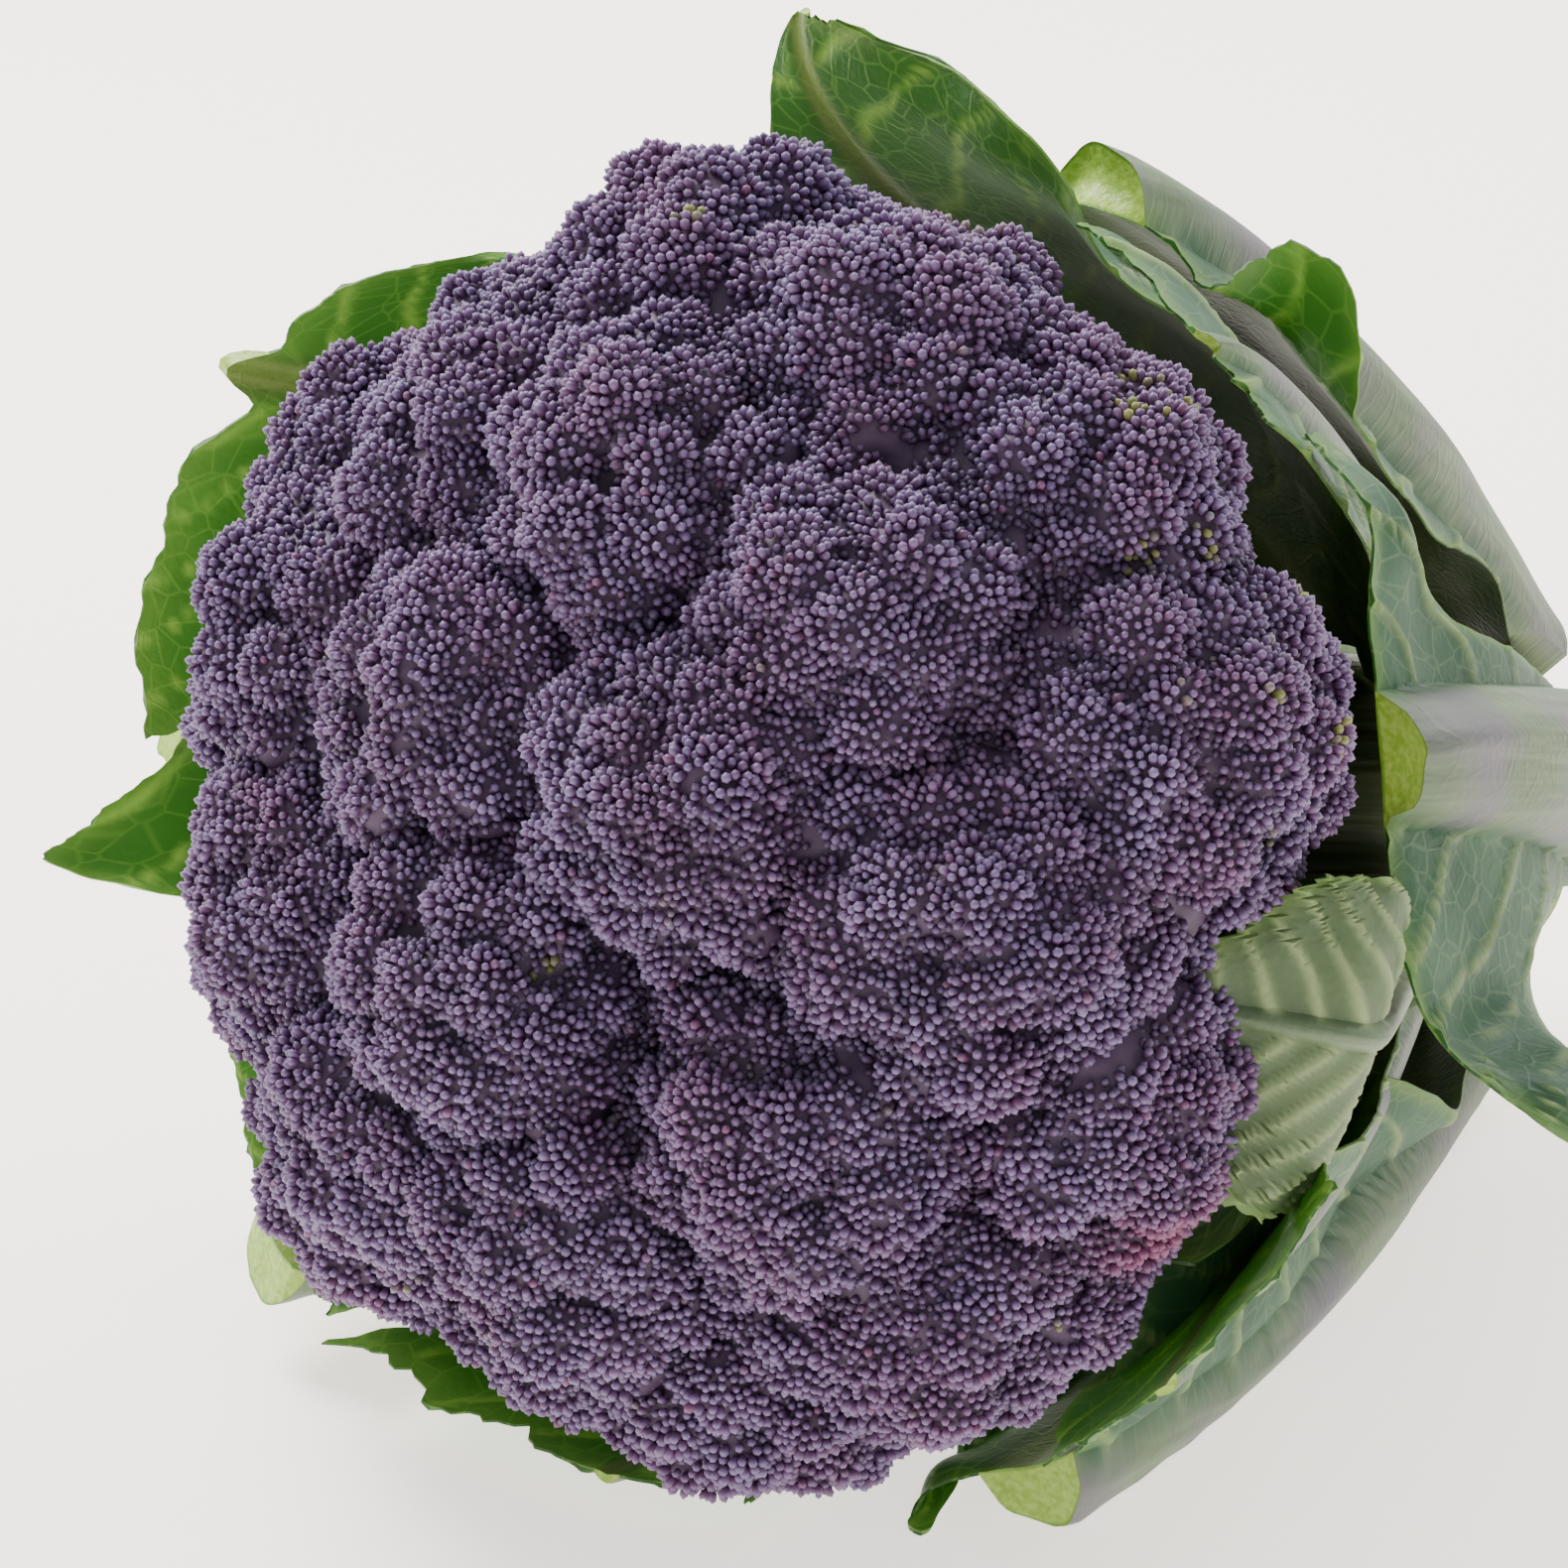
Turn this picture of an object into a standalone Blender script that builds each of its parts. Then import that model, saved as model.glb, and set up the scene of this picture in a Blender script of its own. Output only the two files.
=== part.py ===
"""Purple broccoli head, cut at the stem and trimmed, lying on its side.

The head's own axis runs from the cut butt of the stem to the top of the crown. It lies
nearly level: the crown faces -Y and is raised by HEAD_TILT, the butt points to +Y.
A place on the head is given by three values: how far it is along the axis from the
crown's rim plane, its azimuth around the axis, and its radius from the axis.
"""

import math

import bmesh
import bpy
from mathutils import Matrix, Vector

MM = 0.001

# Driving dimensions of the head
CROWN_RADIUS = 103.0 * MM
CROWN_HEIGHT = 75.0 * MM
STEM_LENGTH = 180.0 * MM
STEM_RADIUS = 29.0 * MM
RECEPTACLE_RADIUS = 30.0 * MM
RECEPTACLE_DEPTH = 60.0 * MM
RECEPTACLE_CENTRE = Vector((0.0, 0.0, -RECEPTACLE_DEPTH))
HEAD_TILT = math.radians(20.0)
CROWN_CLEARANCE = 6.0 * MM

# Fits between pieces
PIECE_GAP = 0.3 * MM

# Florets: the stalk's width at its foot and neck, as shares of the dome's radius, and how
# many radii below the dome's centre the neck lies
STALK_FOOT_SHARE = 0.26
STALK_NECK_SHARE = 0.46
NECK_DEPTH = 1.2
DOME_ANGLES = (0.0, 24.0, 46.0, 68.0, 90.0, 112.0)
FLORET_STEPS = 14
NEIGHBOUR_ANGLE = math.radians(62.0)

# The stem's roundness: steps around it and up its domed receptacle
STEM_STEPS = 28
RECEPTACLE_STEPS = 6

# Leaves: blade thickness, and the petiole's half width and thickness from base to tip
BLADE_THICKNESS = 1.4 * MM
OUTER_PETIOLE = ((17.0 * MM, 14.0 * MM), (8.5 * MM, 10.0 * MM))
INNER_PETIOLE = ((10.0 * MM, 7.0 * MM), (4.0 * MM, 3.0 * MM))
LEAF_ROWS = 11
LEAF_COLUMNS = (-1.0, -0.72, -0.42, -0.2, 0.0, 0.2, 0.42, 0.72, 1.0)
SLOPE_STEP = 0.02

SHARP_ANGLE = math.radians(40.0)
MERGE_DISTANCE = 0.01 * MM

# Every floret: its name, azimuth, tilt from the axis (both in degrees) and dome radius
FLORETS = (
    ("floret_rim_01", 25.0, 78.0, 31.0 * MM),
    ("floret_rim_02", 50.0, 76.0, 25.0 * MM),
    ("floret_rim_03", 77.0, 67.0, 30.0 * MM),
    ("floret_rim_04", 105.0, 71.0, 26.0 * MM),
    ("floret_rim_05", 131.0, 74.0, 26.0 * MM),
    ("floret_rim_06", 158.0, 74.0, 27.0 * MM),
    ("floret_rim_07", 186.0, 75.0, 26.0 * MM),
    ("floret_rim_08", 212.0, 76.0, 27.0 * MM),
    ("floret_rim_09", 239.0, 76.0, 27.0 * MM),
    ("floret_rim_10", 266.0, 77.0, 26.0 * MM),
    ("floret_rim_11", 292.0, 78.0, 27.0 * MM),
    ("floret_rim_12", 319.0, 78.0, 27.0 * MM),
    ("floret_rim_13", 343.0, 80.0, 25.0 * MM),
    ("floret_side_01", 1.0, 50.0, 29.0 * MM),
    ("floret_side_02", 45.0, 42.0, 26.0 * MM),
    ("floret_side_03", 91.0, 35.0, 25.0 * MM),
    ("floret_side_04", 129.0, 44.0, 26.0 * MM),
    ("floret_side_05", 169.0, 43.0, 25.0 * MM),
    ("floret_side_06", 208.0, 40.0, 26.0 * MM),
    ("floret_side_07", 247.0, 43.0, 26.0 * MM),
    ("floret_side_08", 285.0, 44.0, 26.0 * MM),
    ("floret_side_09", 324.0, 45.0, 26.0 * MM),
    ("floret_top_01", 22.0, 20.0, 25.0 * MM),
    ("floret_top_02", 148.0, 15.0, 25.0 * MM),
    ("floret_top_03", 268.0, 18.0, 25.0 * MM),
)

# Every leaf: its name, its petiole and, from base to tip, three places each: midrib, the
# edge on the side of greater azimuth and the edge on the side of lesser azimuth. A place is
# its share of the stem's length (-1 the butt, 0 the rim), its azimuth in degrees, and how
# far it stands from the stem (0) towards the crown's radius (1).
LEAVES = (
    ("outer_leaf_upper", OUTER_PETIOLE, (
        ((-1.00, 90, 0.00), (-1.00, 113, 0.00), (-1.00, 67, 0.00)),
        ((-0.80, 90, 0.33), (-0.80, 111, 0.35), (-0.80, 67, 0.35)),
        ((-0.60, 90, 0.58), (-0.60, 107, 0.61), (-0.60, 66, 0.62)),
        ((-0.40, 90, 0.79), (-0.40, 104, 0.84), (-0.40, 62, 0.88)),
        ((-0.24, 91, 0.90), (-0.22, 102, 0.95), (-0.18, 57, 1.08)),
    )),
    ("outer_leaf_right", OUTER_PETIOLE, (
        ((-1.00, 22, 0.00), (-1.00, 46, 0.00), (-1.00, -2, 0.00)),
        ((-0.80, 22, 0.33), (-0.80, 45, 0.35), (-0.80, -2, 0.35)),
        ((-0.60, 22, 0.58), (-0.60, 45, 0.62), (-0.60, -5, 0.62)),
        ((-0.40, 22, 0.78), (-0.40, 48, 0.88), (-0.43, -11, 0.90)),
        ((-0.22, 22, 0.87), (-0.24, 51, 1.06), (-0.31, -11, 1.06)),
        ((-0.15, 22, 0.90), (-0.12, 49, 1.14), (-0.20, -2, 1.05)),
    )),
    ("outer_leaf_lower_right", OUTER_PETIOLE, (
        ((-1.00, 289, 0.00), (-1.00, 314, 0.00), (-1.00, 265, 0.00)),
        ((-0.80, 294, 0.32), (-0.80, 320, 0.34), (-0.80, 275, 0.32)),
        ((-0.60, 299, 0.57), (-0.62, 336, 0.62), (-0.60, 286, 0.58)),
        ((-0.42, 300, 0.77), (-0.48, 347, 0.84), (-0.42, 288, 0.80)),
        ((-0.26, 300, 0.90), (-0.32, 346, 0.97), (-0.26, 289, 0.93)),
        ((-0.20, 300, 0.95), (-0.13, 330, 1.04), (-0.12, 291, 1.04)),
    )),
    ("outer_leaf_lower_left", OUTER_PETIOLE, (
        ((-1.00, 227, 0.00), (-1.00, 251, 0.00), (-1.00, 203, 0.00)),
        ((-0.80, 229, 0.33), (-0.80, 249, 0.35), (-0.80, 206, 0.35)),
        ((-0.60, 230, 0.60), (-0.60, 246, 0.62), (-0.60, 207, 0.63)),
        ((-0.35, 231, 0.86), (-0.35, 242, 0.88), (-0.35, 208, 0.93)),
        ((-0.10, 232, 1.04), (-0.10, 240, 1.06), (-0.10, 208, 1.14)),
        ((0.05, 233, 1.12), (0.05, 240, 1.12), (-0.02, 213, 1.20)),
    )),
    ("outer_leaf_left", OUTER_PETIOLE, (
        ((-1.00, 160, 0.00), (-1.00, 184, 0.00), (-1.00, 136, 0.00)),
        ((-0.80, 166, 0.34), (-0.80, 188, 0.35), (-0.80, 146, 0.36)),
        ((-0.60, 173, 0.64), (-0.60, 193, 0.66), (-0.60, 154, 0.68)),
        ((-0.35, 181, 1.02), (-0.35, 198, 1.00), (-0.35, 168, 1.06)),
        ((-0.10, 184, 1.27), (-0.10, 201, 1.20), (-0.10, 171, 1.32)),
        ((0.03, 186, 1.34), (0.14, 195, 1.36), (0.03, 174, 1.38)),
    )),
    ("inner_leaf_left", INNER_PETIOLE, (
        ((-0.84, 148, 0.00), (-0.84, 170, 0.00), (-0.84, 127, 0.00)),
        ((-0.65, 150, 0.34), (-0.65, 172, 0.36), (-0.65, 129, 0.36)),
        ((-0.45, 154, 0.70), (-0.45, 176, 0.70), (-0.45, 133, 0.73)),
        ((-0.20, 159, 1.03), (-0.20, 185, 1.03), (-0.20, 139, 1.03)),
        ((0.08, 161, 1.22), (0.05, 192, 1.24), (-0.13, 145, 1.14)),
    )),
    ("inner_leaf_top", INNER_PETIOLE, (
        ((-0.84, 106, 0.00), (-0.84, 125, 0.00), (-0.84, 85, 0.00)),
        ((-0.65, 109, 0.34), (-0.65, 126, 0.36), (-0.65, 83, 0.34)),
        ((-0.45, 114, 0.66), (-0.45, 128, 0.72), (-0.45, 81, 0.58)),
        ((-0.20, 117, 0.98), (-0.20, 131, 1.02), (-0.20, 80, 0.78)),
        ((-0.08, 118, 1.20), (-0.08, 125, 1.24), (-0.06, 83, 1.02)),
    )),
    ("inner_leaf_under", INNER_PETIOLE, (
        ((-0.84, 264, 0.00), (-0.84, 283, 0.00), (-0.84, 245, 0.00)),
        ((-0.65, 266, 0.28), (-0.65, 283, 0.28), (-0.65, 248, 0.30)),
        ((-0.45, 268, 0.58), (-0.45, 283, 0.58), (-0.45, 248, 0.62)),
        ((-0.25, 270, 0.84), (-0.25, 283, 0.84), (-0.25, 246, 0.88)),
        ((-0.12, 271, 0.99), (-0.13, 286, 0.99), (-0.04, 244, 1.06)),
    )),
    ("inner_leaf_lower_right", INNER_PETIOLE, (
        ((-0.80, 320, 0.00), (-0.80, 331, 0.00), (-0.80, 308, 0.00)),
        ((-0.60, 322, 0.34), (-0.60, 333, 0.34), (-0.60, 309, 0.34)),
        ((-0.40, 324, 0.61), (-0.40, 336, 0.61), (-0.40, 310, 0.61)),
        ((-0.20, 325, 0.83), (-0.20, 336, 0.84), (-0.20, 312, 0.83)),
        ((-0.07, 325, 1.00), (-0.10, 335, 0.98), (-0.08, 314, 0.98)),
    )),
    ("inner_leaf_frilled", INNER_PETIOLE, (
        ((-0.72, 354, 0.00), (-0.72, 369, 0.00), (-0.72, 339, 0.00)),
        ((-0.50, 354, 0.36), (-0.50, 368, 0.36), (-0.50, 341, 0.36)),
        ((-0.30, 356, 0.66), (-0.30, 369, 0.64), (-0.30, 341, 0.66)),
        ((-0.12, 358, 0.92), (-0.12, 371, 0.89), (-0.10, 342, 0.92)),
        ((0.02, 358, 1.10), (-0.04, 374, 1.04), (0.08, 348, 1.04)),
    )),
    ("inner_leaf_upper_right", INNER_PETIOLE, (
        ((-0.75, 54, 0.00), (-0.75, 72, 0.00), (-0.75, 36, 0.00)),
        ((-0.55, 55, 0.36), (-0.55, 74, 0.36), (-0.55, 37, 0.36)),
        ((-0.35, 56, 0.66), (-0.35, 75, 0.66), (-0.35, 38, 0.66)),
        ((-0.15, 58, 0.90), (-0.15, 76, 0.90), (-0.15, 40, 0.90)),
        ((-0.03, 59, 1.01), (-0.04, 76, 1.02), (-0.06, 44, 1.00)),
    )),
)

# Colours and finish: base colour (linear RGB), roughness
BUD_PURPLE = ("purple_buds", (0.060, 0.035, 0.085), 0.55)
STEM_GREEN = ("pale_green_stem", (0.42, 0.50, 0.20), 0.45)
LEAF_GREEN = ("leaf_green", (0.09, 0.22, 0.07), 0.5)


def head_frame():
    """The matrix of the head's axis: X across, Y up and square to the axis, Z towards the crown."""
    across = Vector((1.0, 0.0, 0.0))
    raised = Vector((0.0, math.sin(HEAD_TILT), math.cos(HEAD_TILT)))
    along = Vector((0.0, -math.cos(HEAD_TILT), math.sin(HEAD_TILT)))
    turn = Matrix((across, raised, along)).transposed().to_4x4()
    rest_height = CROWN_RADIUS * math.cos(HEAD_TILT) + CROWN_CLEARANCE
    return Matrix.Translation((0.0, 0.0, rest_height)) @ turn


def on_head(along, azimuth, radius):
    """A place on the head, in the head's own axes."""
    angle = math.radians(azimuth)
    return Vector((radius * math.cos(angle), radius * math.sin(angle), along))


def material_of(finish):
    """The Principled material of one finish, made once."""
    name, colour, roughness = finish
    made = bpy.data.materials.get(name)
    if made:
        return made
    made = bpy.data.materials.new(name)
    made.use_nodes = True
    shader = made.node_tree.nodes["Principled BSDF"]
    shader.inputs["Base Color"].default_value = (*colour, 1.0)
    shader.inputs["Roughness"].default_value = roughness
    shader.inputs["Metallic"].default_value = 0.0
    return made


def place(name, mesh, finish, collection):
    """Put a finished mesh in the collection as one named piece."""
    mesh.name = name
    mesh.materials.clear()
    mesh.materials.append(material_of(finish))
    mesh.shade_smooth()
    mesh.set_sharp_from_angle(angle=SHARP_ANGLE)
    piece = bpy.data.objects.new(name, mesh)
    collection.objects.link(piece)
    return piece


def turned(profile, steps):
    """A closed body turned around Z from a profile of (radius, height), top to bottom."""
    outline = bpy.data.meshes.new("outline")
    points = [(radius, 0.0, height) for radius, height in profile]
    edges = [(index, index + 1) for index in range(len(points) - 1)]
    outline.from_pydata(points, edges, [])
    holder = bpy.data.objects.new("outline", outline)
    bpy.context.scene.collection.objects.link(holder)
    screw = holder.modifiers.new("turn", "SCREW")
    screw.steps = steps
    screw.render_steps = steps
    screw.use_merge_vertices = True
    screw.merge_threshold = MERGE_DISTANCE
    graph = bpy.context.evaluated_depsgraph_get()
    body = bpy.data.meshes.new_from_object(holder.evaluated_get(graph))
    bpy.data.objects.remove(holder)
    bpy.data.meshes.remove(outline)
    return body


def cut_away(shape, point, outward):
    """Cut everything on the outward side of a plane off a bmesh, and close the cut."""
    geometry = shape.verts[:] + shape.edges[:] + shape.faces[:]
    bmesh.ops.bisect_plane(
        shape, geom=geometry, dist=MERGE_DISTANCE, plane_co=point, plane_no=outward, clear_outer=True
    )
    open_edges = [edge for edge in shape.edges if edge.is_boundary]
    if open_edges:
        bmesh.ops.holes_fill(shape, edges=open_edges, sides=0)


def stem_profile():
    """The stem's outline: its domed receptacle, its waist and its flat cut butt."""
    dome = []
    for index in range(RECEPTACLE_STEPS):
        angle = math.radians(90.0) * index / RECEPTACLE_STEPS
        height = RECEPTACLE_RADIUS * math.cos(angle) - RECEPTACLE_DEPTH
        dome.append((RECEPTACLE_RADIUS * math.sin(angle), height))
    sides = [
        (RECEPTACLE_RADIUS, -RECEPTACLE_DEPTH),
        (STEM_RADIUS, -(RECEPTACLE_DEPTH + STEM_RADIUS)),
        (STEM_RADIUS, -STEM_LENGTH),
    ]
    return dome + sides + [(0.0, -STEM_LENGTH)]


def make_stem(collection):
    """The main stem: one turned solid from the receptacle to the cut butt."""
    body = turned(stem_profile(), STEM_STEPS)
    body.transform(head_frame())
    return place("main_stem", body, STEM_GREEN, collection)


def crown_point(azimuth, tilt):
    """A point of the crown's dome and the dome's outward normal there."""
    angle = math.radians(tilt)
    point = on_head(CROWN_HEIGHT * math.cos(angle), azimuth, CROWN_RADIUS * math.sin(angle))
    slope = (point.x / CROWN_RADIUS**2, point.y / CROWN_RADIUS**2, point.z / CROWN_HEIGHT**2)
    return point, Vector(slope).normalized()


def floret_axis(floret):
    """The direction of a floret's stalk from the receptacle's centre, and its dome's distance."""
    _, azimuth, tilt, radius = floret
    point, normal = crown_point(azimuth, tilt)
    reach = point - radius * normal - RECEPTACLE_CENTRE
    return reach.normalized(), reach.length


def half_angle_weight(radius, distance):
    """A floret's weight when it shares room with a neighbour: one over its half angle's cosine."""
    return 1.0 / math.sqrt(1.0 - (radius / distance) ** 2)


def floret_profile(radius, distance):
    """A floret's outline around its stalk: the dome of buds, its underside and the stalk."""
    dome = [
        (radius * math.sin(math.radians(angle)), distance + radius * math.cos(math.radians(angle)))
        for angle in DOME_ANGLES
    ]
    neck = (radius * STALK_NECK_SHARE, distance - radius * NECK_DEPTH)
    foot_height = RECEPTACLE_RADIUS + PIECE_GAP
    foot = (radius * STALK_FOOT_SHARE, foot_height)
    return dome + [neck, foot, (0.0, foot_height)]


def divide(shape, floret, others):
    """Cut a floret back to its own share of the room between it and its neighbours."""
    direction, distance = floret_axis(floret)
    weight = half_angle_weight(floret[3], distance)
    for other in others:
        towards, reach = floret_axis(other)
        if other is floret or direction.angle(towards) > NEIGHBOUR_ANGLE:
            continue
        outward = (towards * half_angle_weight(other[3], reach) - direction * weight).normalized()
        cut_away(shape, RECEPTACLE_CENTRE - outward * PIECE_GAP / 2.0, outward)


def make_floret(floret, collection):
    """One floret: a stalk from the receptacle with its dome of buds, beside its neighbours."""
    direction, distance = floret_axis(floret)
    body = turned(floret_profile(floret[3], distance), FLORET_STEPS)
    shape = bmesh.new()
    shape.from_mesh(body)
    turn = direction.to_track_quat("Z", "Y").to_matrix().to_4x4()
    shape.transform(Matrix.Translation(RECEPTACLE_CENTRE) @ turn)
    divide(shape, floret, FLORETS)
    bmesh.ops.recalc_face_normals(shape, faces=shape.faces)
    shape.to_mesh(body)
    shape.free()
    body.transform(head_frame())
    return place(floret[0], body, BUD_PURPLE, collection)


def between(values, share):
    """A smooth curve through evenly spaced values, read at a share of its length."""
    last = len(values) - 1
    spot = min(max(share * last, 0.0), float(last))
    index = min(int(spot), last - 1)
    part = spot - index
    first = values[max(index - 1, 0)]
    second = values[index]
    third = values[index + 1]
    fourth = values[min(index + 2, last)]
    bend = 2.0 * first - 5.0 * second + 4.0 * third - fourth
    cubic = 3.0 * second - first - 3.0 * third + fourth
    return 0.5 * (2.0 * second + (third - first) * part + bend * part**2 + cubic * part**3)


def leaf_point(stations, share, side):
    """A point of a leaf's inner face: share from base to tip, side from -1 to 1 across it."""
    midrib, greater, lesser = (
        Vector([between([station[line][value] for station in stations], share) for value in range(3)])
        for line in range(3)
    )
    bow = (greater + lesser) / 2.0 - midrib
    stem_share, azimuth, outreach = midrib + (greater - lesser) / 2.0 * side + bow * side**2
    foot_radius = STEM_RADIUS + PIECE_GAP
    radius = foot_radius + (CROWN_RADIUS - STEM_RADIUS) * outreach
    return head_frame() @ on_head(stem_share * STEM_LENGTH, azimuth, radius)


def petiole_depth(petiole, share, across):
    """How far the petiole stands proud of the blade, at a distance across from the midrib."""
    base, tip = petiole
    half_width = base[0] + (tip[0] - base[0]) * share
    depth = base[1] + (tip[1] - base[1]) * share
    return depth * math.sqrt(1.0 - min(across / half_width, 1.0) ** 2)


def leaf_row(stations, petiole, share):
    """One row of a leaf across its midrib: the points of its inner face and of its outer face."""
    inner = [leaf_point(stations, share, side) for side in LEAF_COLUMNS]
    midrib = inner[len(inner) // 2]
    ahead = leaf_point(stations, min(share + SLOPE_STEP, 1.0), 0.0)
    behind = leaf_point(stations, max(share - SLOPE_STEP, 0.0), 0.0)
    forward = (ahead - behind).normalized()
    outer = []
    for column, point in enumerate(inner):
        before = inner[max(column - 1, 0)]
        after = inner[min(column + 1, len(inner) - 1)]
        outward = (after - before).cross(forward).normalized()
        depth = BLADE_THICKNESS + petiole_depth(petiole, share, (point - midrib).length)
        outer.append(lifted(point + outward * depth, 0.0))
    return [lifted(point, BLADE_THICKNESS) for point in inner], outer


def make_leaf(leaf, collection):
    """One leaf: a lofted blade with its petiole and midrib standing out of the outer face."""
    name, petiole, stations = leaf
    rows = [leaf_row(stations, petiole, row / (LEAF_ROWS - 1)) for row in range(LEAF_ROWS)]
    inner_rows = [inner for inner, _ in rows]
    outer_rows = [outer for _, outer in rows]
    return place(name, shell_between(inner_rows, outer_rows), LEAF_GREEN, collection)


def lifted(point, height):
    """A point kept at least this high above the surface the head lies on."""
    return Vector((point.x, point.y, max(point.z, height)))


def shell_between(inner_rows, outer_rows):
    """A closed mesh between two grids of points of the same size."""
    shape = bmesh.new()
    inner = [[shape.verts.new(point) for point in row] for row in inner_rows]
    outer = [[shape.verts.new(point) for point in row] for row in outer_rows]
    rows = len(inner)
    columns = len(inner[0])
    for row in range(rows - 1):
        for column in range(columns - 1):
            for grid in (inner, outer):
                corners = (grid[row][column], grid[row][column + 1])
                shape.faces.new((*corners, grid[row + 1][column + 1], grid[row + 1][column]))
    for row in range(rows - 1):
        for column in (0, columns - 1):
            corners = (inner[row][column], inner[row + 1][column])
            shape.faces.new((*corners, outer[row + 1][column], outer[row][column]))
    for column in range(columns - 1):
        for row in (0, rows - 1):
            corners = (inner[row][column], inner[row][column + 1])
            shape.faces.new((*corners, outer[row][column + 1], outer[row][column]))
    bmesh.ops.triangulate(shape, faces=shape.faces)
    bmesh.ops.recalc_face_normals(shape, faces=shape.faces)
    mesh = bpy.data.meshes.new("leaf")
    shape.to_mesh(mesh)
    shape.free()
    return mesh


def stand_on_origin(pieces):
    """Move the whole head so that its lowest point is at z = 0 and its box is centred on it."""
    corners = [piece.matrix_world @ vertex.co for piece in pieces for vertex in piece.data.vertices]
    lowest = [min(corner[axis] for corner in corners) for axis in range(3)]
    highest = [max(corner[axis] for corner in corners) for axis in range(3)]
    shift = Matrix.Translation((
        -(lowest[0] + highest[0]) / 2.0,
        -(lowest[1] + highest[1]) / 2.0,
        -lowest[2],
    ))
    for piece in pieces:
        piece.data.transform(shift)


def build():
    """Make every piece of the head in a collection of its own."""
    for old in list(bpy.data.objects):
        bpy.data.objects.remove(old, do_unlink=True)
    collection = bpy.data.collections.new("broccoli_head")
    bpy.context.scene.collection.children.link(collection)
    pieces = [make_stem(collection)]
    pieces += [make_floret(floret, collection) for floret in FLORETS]
    pieces += [make_leaf(leaf, collection) for leaf in LEAVES]
    stand_on_origin(pieces)


build()
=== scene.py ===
"""The looks of a purple broccoli head: a crown of flower buds cupped by trimmed leaves."""

import math

import bmesh
import bpy
import numpy as np
from mathutils import Matrix, Vector


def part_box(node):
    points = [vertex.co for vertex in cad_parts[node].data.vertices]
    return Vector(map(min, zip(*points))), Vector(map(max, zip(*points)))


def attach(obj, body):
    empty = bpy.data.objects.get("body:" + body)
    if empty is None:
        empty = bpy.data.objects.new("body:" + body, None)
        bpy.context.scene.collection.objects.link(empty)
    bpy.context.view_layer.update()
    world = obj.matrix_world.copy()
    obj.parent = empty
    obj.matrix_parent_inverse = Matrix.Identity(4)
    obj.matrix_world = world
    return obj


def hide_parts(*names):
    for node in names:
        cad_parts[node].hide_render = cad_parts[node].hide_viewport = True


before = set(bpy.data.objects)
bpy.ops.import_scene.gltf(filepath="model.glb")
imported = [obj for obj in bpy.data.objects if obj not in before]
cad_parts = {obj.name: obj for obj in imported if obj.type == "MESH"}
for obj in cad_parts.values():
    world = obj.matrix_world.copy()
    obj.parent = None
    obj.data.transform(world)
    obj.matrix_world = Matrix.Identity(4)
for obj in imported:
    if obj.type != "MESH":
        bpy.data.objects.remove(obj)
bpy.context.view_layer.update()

MM = 0.001
SEED = 7

# ---------------------------------------------------------------- sizes shared with the CAD
CROWN_RADIUS = 103.0 * MM
CROWN_HEIGHT = 75.0 * MM
STEM_LENGTH = 180.0 * MM
STEM_RADIUS = 29.0 * MM
RECEPTACLE_RADIUS = 30.0 * MM
RECEPTACLE_DEPTH = 60.0 * MM
RECEPTACLE_CENTRE = Vector((0.0, 0.0, -RECEPTACLE_DEPTH))
HEAD_TILT = math.radians(20.0)
PIECE_GAP = 0.3 * MM
OUTER_PETIOLE = ((17.0 * MM, 14.0 * MM), (8.5 * MM, 10.0 * MM))
INNER_PETIOLE = ((10.0 * MM, 7.0 * MM), (4.0 * MM, 3.0 * MM))

# Every floret: its name, azimuth, tilt from the axis (both in degrees) and dome radius
FLORETS = (
    ("floret_rim_01", 25.0, 78.0, 31.0 * MM),
    ("floret_rim_02", 50.0, 76.0, 25.0 * MM),
    ("floret_rim_03", 77.0, 67.0, 30.0 * MM),
    ("floret_rim_04", 105.0, 71.0, 26.0 * MM),
    ("floret_rim_05", 131.0, 74.0, 26.0 * MM),
    ("floret_rim_06", 158.0, 74.0, 27.0 * MM),
    ("floret_rim_07", 186.0, 75.0, 26.0 * MM),
    ("floret_rim_08", 212.0, 76.0, 27.0 * MM),
    ("floret_rim_09", 239.0, 76.0, 27.0 * MM),
    ("floret_rim_10", 266.0, 77.0, 26.0 * MM),
    ("floret_rim_11", 292.0, 78.0, 27.0 * MM),
    ("floret_rim_12", 319.0, 78.0, 27.0 * MM),
    ("floret_rim_13", 343.0, 80.0, 25.0 * MM),
    ("floret_side_01", 1.0, 50.0, 29.0 * MM),
    ("floret_side_02", 45.0, 42.0, 26.0 * MM),
    ("floret_side_03", 91.0, 35.0, 25.0 * MM),
    ("floret_side_04", 129.0, 44.0, 26.0 * MM),
    ("floret_side_05", 169.0, 43.0, 25.0 * MM),
    ("floret_side_06", 208.0, 40.0, 26.0 * MM),
    ("floret_side_07", 247.0, 43.0, 26.0 * MM),
    ("floret_side_08", 285.0, 44.0, 26.0 * MM),
    ("floret_side_09", 324.0, 45.0, 26.0 * MM),
    ("floret_top_01", 22.0, 20.0, 25.0 * MM),
    ("floret_top_02", 148.0, 15.0, 25.0 * MM),
    ("floret_top_03", 268.0, 18.0, 25.0 * MM),
)

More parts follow.
